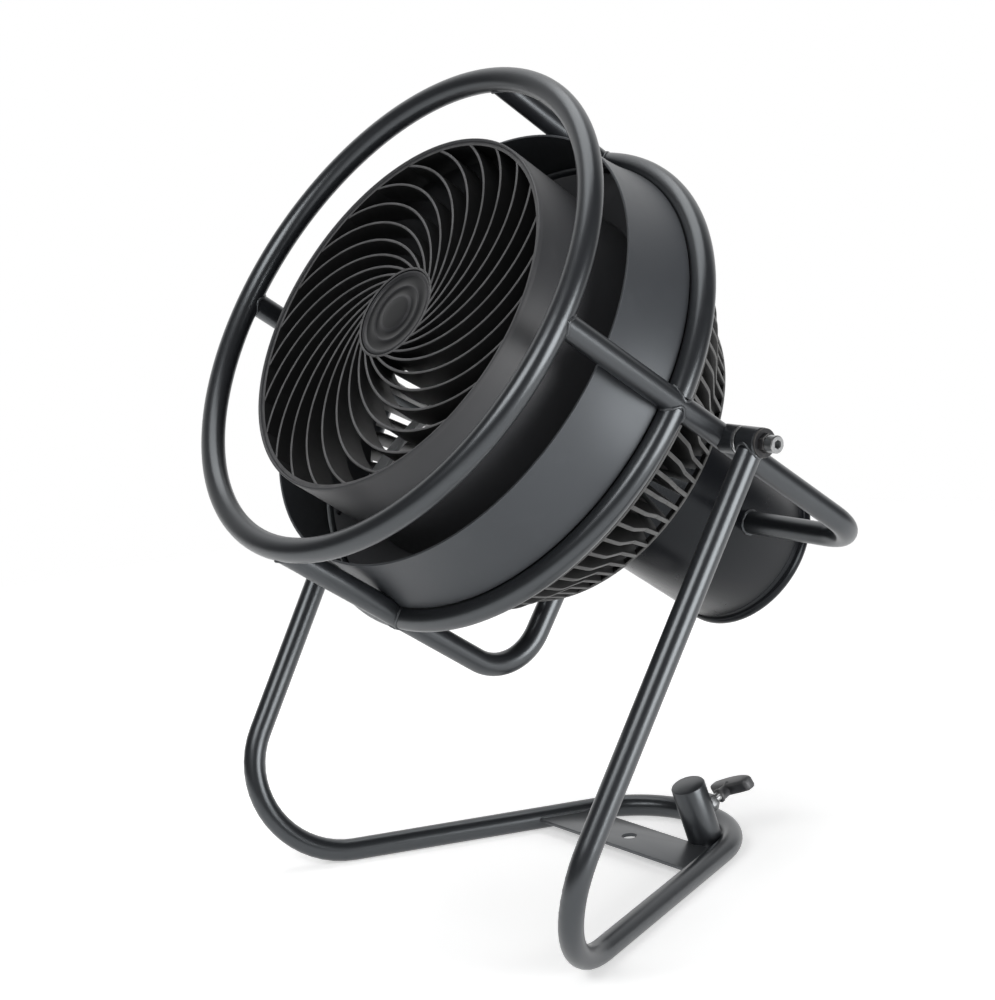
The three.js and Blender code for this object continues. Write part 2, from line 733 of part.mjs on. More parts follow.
// The point that lies one rib depth inside both edges at a corner.
function insideCorner(before, corner, after) {
  const first = edgeNormal(before, corner);
  const second = edgeNormal(corner, after);
  const reach = RIB_DEPTH / (1 + first.dot(second));
  return [corner[0] + reach * (first.x + second.x), corner[1] + reach * (first.y + second.y)];
}

// The rib's outer edge runs from the lip to the collar round the motor can, and its inner edge
// follows it one depth further in.
function ribOutline() {
  const top = [LIP_R - RIB_INSET, LIP_BACK + LIP_THICK / 2];
  const foot = [CAN_R + GAP + 1, COLLAR_BACK + COLLAR_OVERHANG];
  const topDepth = RIB_DEPTH / Math.abs(edgeNormal(top, REAR_CORNER).x);
  return [
    top,
    REAR_CORNER,
    REAR_BACK,
    foot,
    [foot[0], foot[1] + RIB_DEPTH],
    insideCorner(REAR_CORNER, REAR_BACK, foot),
    insideCorner(top, REAR_CORNER, REAR_BACK),
    [top[0] - topDepth, top[1]],
  ];
}

function rearRib(angle) {
  const shape = new THREE.Shape(ribOutline().map(([radius, station]) => new THREE.Vector2(radius, station)));
  const rib = slab(shape, -RIB_THICK / 2, RIB_THICK / 2).rotateX(Math.PI / 2);
  return rib.rotateZ(angle);
}

function grilleLug(angle) {
  const face = DUCT_REAR_STATION - GAP;
  const lug = cylinder(LUG_R, face - LUG_THICK, face, 16).translate(LUG_SCREW_RADIUS, 0, 0);
  return lug.rotateZ(radians(angle));
}

function rearGrille() {
  const front = DUCT_REAR_STATION - GAP;
  const rim = revolved([
    [REAR_RIM_R - REAR_RIM_WALL, LIP_BACK],
    [LIP_R, LIP_BACK],
    [LIP_R, LIP_BACK + LIP_THICK],
    [REAR_RIM_R, LIP_BACK + LIP_THICK],
    [REAR_RIM_R, front],
    [REAR_RIM_R - REAR_RIM_WALL, front],
  ], RIB_COUNT);
  const collarIn = CAN_R + GAP;
  const collarFront = COLLAR_BACK + RIB_DEPTH + 2 * COLLAR_OVERHANG;
  const collar = sleeve(collarIn, collarIn + COLLAR_WALL, COLLAR_BACK, collarFront, RIB_COUNT);
  const ribs = [];
  for (let i = 0; i < RIB_COUNT; i++) {
    ribs.push(rearRib(radians(RIB_PHASE_DEG) + (i * Math.PI * 2) / RIB_COUNT));
  }
  const whole = joined([rim, collar, ...ribs, ...LUG_ANGLES_DEG.map(grilleLug)]);
  const holes = lugScrewHoles(LUG_SCREW_R + GAP, front - LUG_THICK - 2, front + 5);
  const strutNotches = LOOPS.map((loop) => strutBar(loop, TUBE_R + GAP));
  return cutBy(whole, [...holes, ...strutNotches]);
}

function lugScrew(angle) {
  const under = DUCT_REAR_STATION - 2 * GAP - LUG_THICK;
  const end = DUCT_REAR_STATION + FLANGE_THICK + 3;
  const screw = turned([
    [0, under - 2.4],
    [LUG_SCREW_HEAD_R - 1, under - 2.4],
    [LUG_SCREW_HEAD_R, under],
    [LUG_SCREW_R, under],
    [LUG_SCREW_R, end],
    [0, end],
  ], 10);
  return screw.translate(LUG_SCREW_RADIUS, 0, 0).rotateZ(radians(angle));
}

// ---------- motor ----------
function motorCan() {
  const inner = CAN_R - CAN_WALL;
  return revolved([
    [inner, CAN_FRONT],
    [CAN_R, CAN_FRONT],
    [CAN_R, CAN_REAR + 1],
    [CAN_BEAD_R, CAN_REAR - 1],
    [CAN_BEAD_R, CAN_BEAD_BACK + 1.5],
    [CAN_BEAD_R - 2, CAN_BEAD_BACK],
    [inner, CAN_BEAD_BACK],
  ], ROUND_STEPS);
}

// A bearing bracket: a disc with a seat for one bearing on its inner side.
function bearingBracket(face, inward) {
  const plateEnd = face + inward * BRACKET_THICK;
  const seatFloor = face + inward * 3;
  const seatEnd = seatFloor + inward * (BEARING_LENGTH + 1);
  return revolved([
    [SHAFT_R + 2, face],
    [CAN_R - CAN_WALL - GAP, face],
    [CAN_R - CAN_WALL - GAP, plateEnd],
    [BEARING_SEAT_R + 4, plateEnd],
    [BEARING_SEAT_R + 4, seatEnd],
    [BEARING_SEAT_R, seatEnd],
    [BEARING_SEAT_R, seatFloor],
    [SHAFT_R + 2, seatFloor],
  ], INNER_STEPS);
}

function bearing(face, inward) {
  const start = face + inward * (3 + GAP);
  const end = start + inward * BEARING_LENGTH;
  return sleeve(SHAFT_R + GAP, BEARING_R, Math.min(start, end), Math.max(start, end), INNER_STEPS);
}

function stator() {
  const winding = 13;
  return revolved([
    [STATOR_R, STATOR_FRONT],
    [STATOR_R + 6, STATOR_FRONT + winding],
    [STATOR_R + 18, STATOR_FRONT + winding],
    [CAN_R - CAN_WALL - GAP, STATOR_FRONT],
    [CAN_R - CAN_WALL - GAP, STATOR_REAR],
    [STATOR_R + 18, STATOR_REAR - winding],
    [STATOR_R + 6, STATOR_REAR - winding],
    [STATOR_R, STATOR_REAR],
  ], INNER_STEPS);
}

function rotorShaft() {
  return turned([
    [0, REAR_BRACKET - 6],
    [SHAFT_R, REAR_BRACKET - 6],
    [SHAFT_R, STATOR_REAR],
    [ROTOR_R, STATOR_REAR],
    [ROTOR_R, STATOR_FRONT],
    [SHAFT_R, STATOR_FRONT],
    [SHAFT_R, PROPELLER_FRONT + 10],
    [0, PROPELLER_FRONT + 10],
  ], INNER_STEPS);
}

function rearCap() {
  const radius = CAN_R - CAN_WALL - GAP;
  const dished = revolved([
    [0, CAP_FACE],
    [radius - 2, CAP_FACE],
    [radius, CAP_FACE + 2],
    [radius, CAP_FACE + CAP_DEPTH],
    [radius - CAP_WALL, CAP_FACE + CAP_DEPTH],
    [radius - CAP_WALL, CAP_FACE + CAP_WALL],
    [0, CAP_FACE + CAP_WALL],
  ], 40);
  const spindle = cylinder(SWITCH_SPINDLE_R + 2 * GAP, CAP_FACE - 1, CAP_FACE + CAP_DEPTH, 16);
  const glandHole = cylinder(GLAND_R - 2, CAP_FACE - 1, CAP_FACE + CAP_DEPTH, 16);
  return cutBy(dished, [spindle, glandHole.translate(0, -GLAND_OFFSET, 0)]);
}

// The three-speed switch sits behind the cap. Its spindle is one piece with the knob.
function speedSwitch() {
  const front = CAP_FACE + CAP_WALL + GAP;
  const [x, y] = [SWITCH_WIDTH / 2, SWITCH_HEIGHT / 2];
  const outline = new THREE.Shape();
  outline.moveTo(-x, -y);
  outline.lineTo(x, -y);
  outline.lineTo(x, y);
  outline.lineTo(-x, y);
  outline.holes.push(new THREE.Path().absarc(0, 0, SWITCH_SPINDLE_R + GAP, 0, Math.PI * 2, true));
  return slab(outline, front, front + SWITCH_DEPTH);
}

function speedKnob() {
  const back = CAP_FACE - 1;
  const face = back - KNOB_LENGTH;
  const waist = KNOB_R - KNOB_WAIST;
  const tip = CAP_FACE + SPINDLE_LENGTH;
  const body = turned([
    [0, face],
    [waist - 1.5, face],
    [waist, face + 1.5],
    [waist, back - 4],
    [KNOB_R, back - 2.5],
    [KNOB_R, back],
    [SWITCH_SPINDLE_R, back],
    [SWITCH_SPINDLE_R, tip],
    [0, tip],
  ], 24);
  const grip = new THREE.BoxGeometry(2 * waist - 4, KNOB_BAR, 3).translate(0, 0, face - 1);
  return joined([body, grip]);
}

// The supply's entry: an empty gland with a round through hole.
function cableGland() {
  const face = CAP_FACE - GAP;
  const nut = face - GLAND_NUT;
  const hex = slab(hexOutline(2 * GLAND_R, GLAND_BORE_R), nut, face, 12);
  const dome = sleeve(GLAND_BORE_R, GLAND_R - 1.5, nut - GLAND_DOME, nut + 0.5, 16);
  const thread = sleeve(GLAND_BORE_R, GLAND_R - 2 - GAP, face - 1, face + GLAND_THREAD, 16);
  return joined([hex, dome, thread]).translate(0, -GLAND_OFFSET, 0);
}

// ---------- propeller ----------
// One blade, lofted from hub to tip. Its sections lie on cylinders about the axis, so that the
// tip keeps one clearance to the duct. It's cambered, and its pitch falls towards the tip.
function propellerBlade() {
  const spans = 5;
  const chords = 4;
  const vertices = [];
  const section = (span, side) => {
    const root = PROPELLER_HUB_R - 2;
    const radius = root + (PROPELLER_R - root) * span;
    const chord = ROOT_CHORD + CHORD_GAIN * span ** 0.8 - TIP_ROUNDING * span ** 4;
    const pitch = radians(ROOT_PITCH_DEG - PITCH_DROP_DEG * span);
    for (let i = 0; i <= chords; i++) {
      const along = i / chords - 0.5;
      const camber = BLADE_CAMBER * chord * (1 - 4 * along * along);
      const thick = (PROPELLER_BLADE_THICK / 2) * (1 - 0.6 * Math.abs(2 * along) ** 2) * side;
      const turn = chord * along * Math.cos(pitch) - camber * Math.sin(pitch) - thick * Math.sin(pitch);
      const rise = chord * along * Math.sin(pitch) + camber * Math.cos(pitch) + thick * Math.cos(pitch);
      const angle = turn / radius + BLADE_SWEEP * span;
      vertices.push(radius * Math.cos(angle), radius * Math.sin(angle), PROPELLER_MIDDLE + rise);
    }
  };
  for (const side of [1, -1]) {
    for (let i = 0; i <= spans; i++) {
      section(i / spans, side);
    }
  }
  return gridShell(vertices, spans, chords);
}

// Closes two grids of vertices, one behind the other, into one shell.
function gridShell(vertices, rows, columns) {
  const row = columns + 1;
  const back = row * (rows + 1);
  const index = [];
  const quad = (a, b, c, d) => index.push(a, b, c, a, c, d);
  for (let i = 0; i < rows; i++) {
    for (let j = 0; j < columns; j++) {
      const a = i * row + j;
      quad(a, a + row, a + row + 1, a + 1);
      quad(back + a, back + a + 1, back + a + row + 1, back + a + row);
    }
    const first = i * row;
    const last = first + columns;
    quad(first, back + first, back + first + row, first + row);
    quad(last, last + row, back + last + row, back + last);
  }
  for (let j = 0; j < columns; j++) {
    const tip = rows * row + j;
    quad(j, j + 1, back + j + 1, back + j);
    quad(tip, back + tip, back + tip + 1, tip + 1);
  }
  const geometry = new THREE.BufferGeometry();
  geometry.setAttribute('position', new THREE.Float32BufferAttribute(vertices, 3));
  geometry.setIndex(index);
  return geometry;
}

function propeller() {
  const inside = PROPELLER_HUB_R - PROPELLER_WALL;
  const nose = PROPELLER_FRONT - PROPELLER_NOSE;
  const floor = PROPELLER_FRONT - PROPELLER_WALL;
  const bossBack = PROPELLER_FRONT - SHAFT_BOSS_LENGTH;
  const hub = revolved([
    [SHAFT_R + GAP, PROPELLER_FRONT],
    [PROPELLER_HUB_R - PROPELLER_NOSE, PROPELLER_FRONT],
    [PROPELLER_HUB_R, nose],
    [PROPELLER_HUB_R, PROPELLER_BACK],
    [inside, PROPELLER_BACK],
    [inside, nose],
    [inside - PROPELLER_NOSE, floor],
    [SHAFT_BOSS_R, floor],
    [SHAFT_BOSS_R, bossBack],
    [SHAFT_R + GAP, bossBack],
  ], 30);
  const hollow = cylinder(inside, 0, nose - 1, 30);
  const blades = [];
  for (let i = 0; i < PROPELLER_COUNT; i++) {
    blades.push(cutBy(propellerBlade(), [hollow]).rotateZ((i * Math.PI * 2) / PROPELLER_COUNT));
  }
  return joined([hub, ...blades]);
}

function propellerNut() {
  const start = PROPELLER_FRONT + GAP;
  return slab(hexOutline(PROPELLER_NUT_FLATS, SHAFT_R + GAP), start, start + PROPELLER_NUT_THICK, 12);
}

// ---------- assembly ----------
function standGroup() {
  const group = new THREE.Group();
  group.add(piece('yoke_tube', yokeTube(), 'powderCoat'));
  group.add(piece('base_plate', basePlate(), 'powderCoat'));
  for (const [name, side] of [['right', 1], ['left', -1]]) {
    const boss = piece(`yoke_boss_${name}`, yokeBoss(side), 'powderCoat');
    boss.position.set(0, 0, PIVOT_HEIGHT);
    group.add(boss);
  }
  group.add(receiverGroup());
  return group;
}

function receiverGroup() {
  const group = new THREE.Group();
  group.position.set(RECEIVER_X, RECEIVER_Y, RECEIVER_Z);
  group.rotation.x = radians(RECEIVER_LEAN_DEG);
  group.add(piece('stand_receiver', standReceiver(), 'powderCoat'));
  group.add(piece('receiver_clamp_boss', clampBoss(), 'powderCoat'));
  group.add(piece('clamp_screw', clampScrew(), 'brightSteel'));
  group.add(piece('clamp_grip', clampGrip(), 'castGrip'));
  return group;
}

function headGroup() {
  const group = new THREE.Group();
  group.position.set(0, 0, PIVOT_HEIGHT);
  group.rotation.x = radians(90 - TILT_DEG);
  group.add(piece('guard_front_ring', ringTube(TUBE_R, FRONT_RING_STATION), 'powderCoat'));
  ['upper_right', 'upper_left', 'lower_left', 'lower_right'].forEach((name, quarter) => {
    group.add(piece(`guard_rear_arc_${name}`, rearArc(quarter), 'powderCoat'));
  });
  LOOPS.forEach((loop) => group.add(piece(loop.name, strut(loop), 'powderCoat')));
  for (const [name, side] of [['right', 1], ['left', -1]]) {
    group.add(piece(`pivot_boss_${name}`, strutBoss(side), 'powderCoat'));
    group.add(piece(`friction_washer_${name}`, frictionWasher(side), 'brightSteel'));
    group.add(piece(`flat_washer_${name}`, flatWasher(side), 'blackScrew'));
    group.add(piece(`lock_nut_${name}`, lockNut(side), 'blackScrew'));
    group.add(piece(`pivot_screw_${name}`, pivotScrew(side), 'blackScrew'));
  }
  group.add(piece('drum_shell', drumShell(), 'drumCoat'));
  group.add(piece('nozzle_duct', nozzleDuct(), 'blackPlastic'));
  group.add(piece('front_grille', frontGrille(), 'blackPlastic'));
  group.add(piece('hub_badge', hubBadge(), 'badge'));
  group.add(piece('rear_grille', rearGrille(), 'blackPlastic'));
  LUG_ANGLES_DEG.forEach((angle, i) => {
    group.add(piece(`rear_grille_screw_${i + 1}`, lugScrew(angle), 'blackScrew'));
  });
  group.add(...motorPieces());
  return group;
}

function motorPieces() {
  return [
    piece('motor_can', motorCan(), 'powderCoat'),
    piece('motor_front_bracket', bearingBracket(FRONT_BRACKET, -1), 'motorSteel'),
    piece('motor_rear_bracket', bearingBracket(REAR_BRACKET, 1), 'motorSteel'),
    piece('motor_front_bearing', bearing(FRONT_BRACKET, -1), 'brightSteel'),
    piece('motor_rear_bearing', bearing(REAR_BRACKET, 1), 'brightSteel'),
    piece('motor_stator', stator(), 'motorSteel'),
    piece('rotor_shaft', rotorShaft(), 'motorSteel'),
    piece('motor_rear_cap', rearCap(), 'powderCoat'),
    piece('speed_switch', speedSwitch(), 'blackPlastic'),
    piece('speed_knob', speedKnob(), 'blackPlastic'),
    piece('cable_gland', cableGland(), 'blackPlastic'),
    piece('propeller', propeller(), 'greyPlastic'),
    piece('propeller_nut', propellerNut(), 'brightSteel'),
  ];
}

const fan = new THREE.Group();
fan.name = 'drum_fan';
const assembly = new THREE.Group();
assembly.add(standGroup(), headGroup());
fan.add(assembly);

// The origin is the middle of the fan's footprint, on the floor.
fan.updateMatrixWorld(true);
const footprint = new THREE.Box3().setFromObject(fan, true);
assembly.position.y = -(footprint.min.y + footprint.max.y) / 2;
fan.updateMatrixWorld(true);

export default fan;
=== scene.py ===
import logging
import math
from dataclasses import dataclass
from enum import Enum
from typing import Callable, Sequence

import bmesh
import bpy
from mathutils import Matrix, Vector


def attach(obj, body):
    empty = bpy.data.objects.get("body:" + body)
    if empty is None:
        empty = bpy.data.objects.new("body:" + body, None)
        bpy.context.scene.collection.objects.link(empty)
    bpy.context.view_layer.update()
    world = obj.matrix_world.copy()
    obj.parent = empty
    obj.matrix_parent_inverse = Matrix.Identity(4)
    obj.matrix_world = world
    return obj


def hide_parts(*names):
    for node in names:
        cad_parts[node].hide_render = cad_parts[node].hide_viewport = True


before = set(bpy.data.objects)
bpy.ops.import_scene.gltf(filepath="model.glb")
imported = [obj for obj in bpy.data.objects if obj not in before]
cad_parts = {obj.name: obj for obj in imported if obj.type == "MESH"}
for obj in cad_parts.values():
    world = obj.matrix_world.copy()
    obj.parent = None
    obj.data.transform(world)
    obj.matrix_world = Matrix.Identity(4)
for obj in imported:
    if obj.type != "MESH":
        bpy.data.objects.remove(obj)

log = logging.getLogger("drum_fan")

Pair = tuple[float, float]
Colour = tuple[float, float, float]

MM = 0.001  # in metres
PIVOT = Vector((0.0, 15.142, 378.0))  # the middle of the tilt axis, in mm
TILT = math.radians(36.0)  # how far the head leans at rest
TUBE_R = 19.05 / 2  # the frame tube's radius, in mm
GAP = 0.3  # the clearance between pieces, in mm
RECEIVER = Vector((56.0, 77.9 + PIVOT.y, 37.0))  # the middle of the stand receiver, in mm
LEAN = math.radians(17.0)  # how far the stand receiver leans forward
SIDES = (("right", 1.0), ("left", -1.0))
QUARTERS = (0, 1, 2, 3)


# ---------- places ----------
def head_place() -> Matrix:
    """The head's own frame at rest: Z along the fan's axis, Y up across it, in mm."""
    return Matrix.Translation(PIVOT) @ Matrix.Rotation(math.pi / 2 - TILT, 4, "X")


def receiver_place() -> Matrix:
    """The stand receiver's own frame: Z up its axis, Y along its clamp screw, in mm."""
    return Matrix.Translation(RECEIVER) @ Matrix.Rotation(LEAN, 4, "X")


def stand_place() -> Matrix:
    """The floor stand's frame: the row's, but with Y counted from the tilt axis, in mm."""
    return Matrix.Translation((0.0, PIVOT.y, 0.0))


def about_z(degrees: float) -> Matrix:
    """A turn about Z."""
    return Matrix.Rotation(math.radians(degrees), 4, "Z")


def along_x(side: float) -> Matrix:
    """The turn that lays Z along X, to the right for 1 and to the left for -1."""
    return Matrix.Rotation(side * math.pi / 2, 4, "Y")


def along_y() -> Matrix:
    """The turn that lays Z along Y."""
    return Matrix.Rotation(-math.pi / 2, 4, "X")


def basis(x: Vector, z: Vector, origin: Vector) -> Matrix:
    """A frame from its X and Z directions and its origin.

    Args:
        x: Roughly the X direction.
        z: The Z direction, kept exactly.
        origin: The frame's origin.

    Returns:
        The frame as a matrix.
    """
    z = z.normalized()
    y = z.cross(x).normalized()
    x = y.cross(z)
    columns = Matrix((x, y, z)).transposed().to_4x4()
    columns.translation = origin
    return columns


# ---------- meshes ----------
@dataclass
class Path:
    """A centre line: its stations, their headings, and the side that stays up.

    Attributes:
        points: The stations, in mm.
        headings: The direction of travel at each station.
        up: The direction that a section's first axis keeps to.
    """

    points: list[Vector]
    headings: list[Vector]
    up: Vector

    def frames(self) -> list[Matrix]:
        """The section frame at each station."""
        return [basis(self.up, h, p) for p, h in zip(self.points, self.headings)]


def bent_path(corners: Sequence[Vector], radii: Sequence[float], up: Vector, bend_steps: int = 16) -> Path:
    """A centre line of straight runs with a round bend at each inner corner.

    Args:
        corners: The corners, in mm.
        radii: The bend radius at each inner corner.
        up: The direction that a section's first axis keeps to.
        bend_steps: Stations in each bend.

    Returns:
        The path.
    """
    points, headings = [corners[0].copy()], [(corners[1] - corners[0]).normalized()]
    for i, radius in enumerate(radii, start=1):
        before = (corners[i] - corners[i - 1]).normalized()
        after = (corners[i + 1] - corners[i]).normalized()
        turn = before.angle(after)
        start = corners[i] - before * radius * math.tan(turn / 2)
        inward = (after - before * after.dot(before)).normalized()
        for step in range(bend_steps + 1):
            a = turn * step / bend_steps
            points.append(start + before * radius * math.sin(a) + inward * radius * (1 - math.cos(a)))
            headings.append(before * math.cos(a) + inward * math.sin(a))
    points.append(corners[-1].copy())
    headings.append((corners[-1] - corners[-2]).normalized())
    return Path(points, headings, up)


def ring_path(radius: float, height: float, start: float, end: float, steps: int) -> Path:
    """An arc about Z.

    Args:
        radius: The arc's radius.
        height: Its place along Z.
        start: The angle at which it starts, in degrees.
        end: The angle at which it ends.
        steps: Steps along it.

    Returns:
        The path.
    """
    turns = [math.radians(start + (end - start) * i / steps) for i in range(steps + 1)]
    points = [Vector((radius * math.cos(a), radius * math.sin(a), height)) for a in turns]
    headings = [Vector((-math.sin(a), math.cos(a), 0.0)) for a in turns]
    return Path(points, headings, Vector((0, 0, 1)))


def saddle_path(place: Matrix, tube: float, other: float, steps: int = 40) -> Path:
    """The closed line where a tube along Z meets a round bar along X.

    Args:
        place: The frame of the joint, with its origin on the bar's axis.
        tube: The tube's radius.
        other: The bar's radius.
        steps: Stations round the tube.

    Returns:
        The path, whose last station repeats its first.
    """
    points = [place @ Vector((x, y, math.sqrt(max(other**2 - y**2, 0.0)))) for x, y in circle(tube, steps)]
    headings = [(points[(i + 1) % steps] - points[i - 1]).normalized() for i in range(steps)]
    return Path(points + points[:1], headings + headings[:1], place.to_3x3() @ Vector((0, 0, 1)))


class Shell:
    """A bmesh in mm that is shaped by operators and then made a piece of the fan."""

    def __init__(self) -> None:
        """Starts an empty mesh."""
        self.bm = bmesh.new()

    def _outline(self, points: Sequence[Vector], closed: bool) -> list:
        """Adds a line of vertices and edges.

        Args:
            points: The vertices' places, in order.
            closed: Whether the last joins the first.

        Returns:
            The new vertices, then the new edges.
        """
        verts = [self.bm.verts.new(p) for p in points]
        pairs = list(zip(verts, verts[1:])) + ([(verts[-1], verts[0])] if closed else [])
        return verts + [self.bm.edges.new(pair) for pair in pairs]

    def revolve(self, profile: Sequence[Pair], steps: int = 96, closed: bool = False) -> "Shell":
        """Spins a [radius, height] profile about Z.

        Args:
            profile: The profile's points.
            steps: Steps round the axis.
            closed: Whether the last point joins the first.

        Returns:
            The shell itself.
        """
        geom = self._outline([Vector((r, 0.0, h)) for r, h in profile], closed)
        bmesh.ops.spin(
            self.bm, geom=geom, cent=(0, 0, 0), axis=(0, 0, 1), angle=math.tau, steps=steps, use_merge=True
        )
        return self.close()

    def close(self) -> "Shell":
        """Merges doubles and turns the faces outwards.

        Returns:
            The shell itself.
        """
        bmesh.ops.remove_doubles(self.bm, verts=self.bm.verts, dist=1e-4)
        bmesh.ops.recalc_face_normals(self.bm, faces=self.bm.faces)
        return self

    def sweep(
        self, path: Path, section: Sequence[Pair], scale: Callable[[float], float] | None = None
    ) -> "Shell":
        """Extrudes a closed section along a path, and caps it unless the path closes on itself.

        Args:
            path: The centre line.
            section: The section's points, its first axis along the path's up side.
            scale: The section's size at each share of the path, or None for one size.

        Returns:
            The shell itself.
        """
        frames = path.frames()
        sizes = [scale(i / (len(frames) - 1)) if scale else 1.0 for i in range(len(frames))]
        places = [f @ Matrix.Scale(s, 4) for f, s in zip(frames, sizes)]
        geom = self._outline([places[0] @ Vector((x, y, 0.0)) for x, y in section], True)
        edges = [g for g in geom if isinstance(g, bmesh.types.BMEdge)]
        loops_back = (path.points[0] - path.points[-1]).length < 1e-3
        if not loops_back:
            bmesh.ops.contextual_create(self.bm, geom=edges)
        for before, after in zip(places, places[1:]):
            grown = bmesh.ops.extrude_edge_only(self.bm, edges=edges)["geom"]
            edges = [g for g in grown if isinstance(g, bmesh.types.BMEdge) and g.is_boundary]
            verts = list({v for e in edges for v in e.verts})
            bmesh.ops.transform(self.bm, matrix=after @ before.inverted(), verts=verts)
        if not loops_back:
            bmesh.ops.contextual_create(self.bm, geom=edges)
        return self.close()

    def tube(self, path: Path, radius: float, sides: int = 32) -> "Shell":
        """Sweeps a round bar along a path."""
        return self.sweep(path, circle(radius, sides))

    def plate(self, outline: Sequence[Pair], low: float, high: float, edge: float = 0.0) -> "Shell":
        """Raises a flat outline into a plate.

        Args:
            outline: The outline's points, in order.
            low: The plate's lower face, along Z.
            high: The plate's upper face.
            edge: The bevel on all its edges, or 0 for none.

        Returns:
            The shell itself.
        """
        geom = self._outline([Vector((x, y, low)) for x, y in outline], True)
        edges = [g for g in geom if isinstance(g, bmesh.types.BMEdge)]
        face = bmesh.ops.contextual_create(self.bm, geom=edges)["faces"]
        raised = bmesh.ops.extrude_face_region(self.bm, geom=face)["geom"]
        verts = [g for g in raised if isinstance(g, bmesh.types.BMVert)]
        bmesh.ops.translate(self.bm, vec=(0, 0, high - low), verts=verts)
        self.close()
        return self.soften(edge, 25.0) if edge else self

    def soften(self, width: float, angle: float, segments: int = 2) -> "Shell":
        """Bevels every sharp edge.

        Args:
            width: The bevel's width.
            angle: The angle between two faces above which their edge is bevelled, in degrees.
            segments: Steps across the bevel.

        Returns:
            The shell itself.
        """
        limit = math.radians(angle)
        sharp = [e for e in self.bm.edges if len(e.link_faces) == 2 and e.calc_face_angle(0.0) > limit]
        bmesh.ops.bevel(
            self.bm, geom=sharp, offset=width, segments=segments, profile=0.5, affect="EDGES",
            clamp_overlap=True, material=-1,
        )
        return self

    def place(self, matrix: Matrix) -> "Shell":
        """Moves the whole shell."""
        bmesh.ops.transform(self.bm, matrix=matrix, verts=self.bm.verts)
        return self

    def array(self, count: int, first: float = 0.0) -> "Shell":
        """Repeats the shell round Z.

        Args:
            count: How many copies there are in a full turn.
            first: The angle of the first, in degrees.

        Returns:
            The shell itself.
        """
        self.place(about_z(first))
        step = math.tau / count
        bmesh.ops.spin(
            self.bm, geom=self.bm.verts[:] + self.bm.edges[:] + self.bm.faces[:], cent=(0, 0, 0),
            axis=(0, 0, 1), angle=step * (count - 1), steps=count - 1, use_duplicate=True,
        )
        return self

    def add(self, other: "Shell") -> "Shell":
        """Takes another shell in as a loose part.

        Args:
            other: The other shell, which is used up.

        Returns:
            The shell itself.
        """
        mesh = bpy.data.meshes.new("loose")
        other.bm.to_mesh(mesh)
        other.bm.free()
        self.bm.from_mesh(mesh)
        bpy.data.meshes.remove(mesh)
        return self

    def mark_edges(self, width: float = 3.2) -> "Shell":
        """Marks the narrow faces beside crisp edges, where a finish rubs first and where a painted highlight
        is laid.

        Args:
            width: The widest face that is still marked, in mm.

        Returns:
            The shell itself.
        """
        self.bm.normal_update()
        layer = self.bm.faces.layers.float.new("edge")
        for face in self.bm.faces:
            longest = max(e.calc_length() for e in face.edges)
            if face.calc_area() < width * longest:
                face[layer] = float(any(
                    len(e.link_faces) == 2 and e.calc_length() > longest / 2 and e.calc_face_angle(0.0) > 0.35
                    for e in face.edges
                ))
        return self

    def piece(self, name: str, place: Matrix, sharp: float = 32.0) -> bpy.types.Object:
        """Makes the shell an object at the origin, with its place in its mesh.

        Args:
            name: The piece's name.
            place: The frame that the shell was modelled in, in mm.
            sharp: The angle in degrees above which an edge stays crisp.

        Returns:
            The new object.
        """
        self.mark_edges().place(Matrix.Scale(MM, 4) @ place)
        if place.determinant() < 0:
            bmesh.ops.reverse_faces(self.bm, faces=self.bm.faces)
        mesh = bpy.data.meshes.new(name)
        self.bm.to_mesh(mesh)
        self.bm.free()
        mesh.shade_smooth()
        mesh.set_sharp_from_angle(angle=math.radians(sharp))
        obj = bpy.data.objects.new(name, mesh)
        bpy.context.scene.collection.objects.link(obj)
        return obj


def circle(radius: float, sides: int) -> list[Pair]:
    """The corners of a round section."""
    turns = (math.tau * i / sides for i in range(sides))
    return [(radius * math.cos(a), radius * math.sin(a)) for a in turns]


def hexagon(flats: float) -> list[Pair]:
    """The corners of a hexagon, from its size across the flats."""
    return circle(flats / math.sqrt(3.0), 6)


def rounded_bar(width: float, depth: float, edge: float) -> list[Pair]:
    """A flat bar's section with one cut corner at each edge.

    Args:
        width: Its size along the second axis.
        depth: Its size along the first axis.
        edge: The size of the cut corners.

    Returns:
        The section's corners.
    """
    d, w = depth / 2, width / 2
    return [(d, w - edge), (d - edge, w), (edge - d, w), (-d, w - edge), (-d, edge - w), (edge - d, -w),
            (d - edge, -w), (d, edge - w)]


def turned_rings(count: int, low: float, high: float, inner: float, outer: float) -> list[Pair]:
    """A thread's saw-tooth profile.

    Args:
        count: How many teeth it has.
        low: Where it starts along Z.
        high: Where it ends.
        inner: The radius between the teeth.
        outer: The radius at their tips.

    Returns:
        The profile's points.
    """
    pitch = (high - low) / count
    points = []
    for i in range(count):
        points += [(inner, low + i * pitch), (outer, low + (i + 0.5) * pitch)]
    return points + [(inner, high)]


# ---------- finishes ----------
def rgba(colour: Colour, scale: float = 1.0) -> tuple[float, ...]:
    """A colour as a socket takes it, made lighter or darker by a factor."""
    return (*(c * scale for c in colour), 1.0)


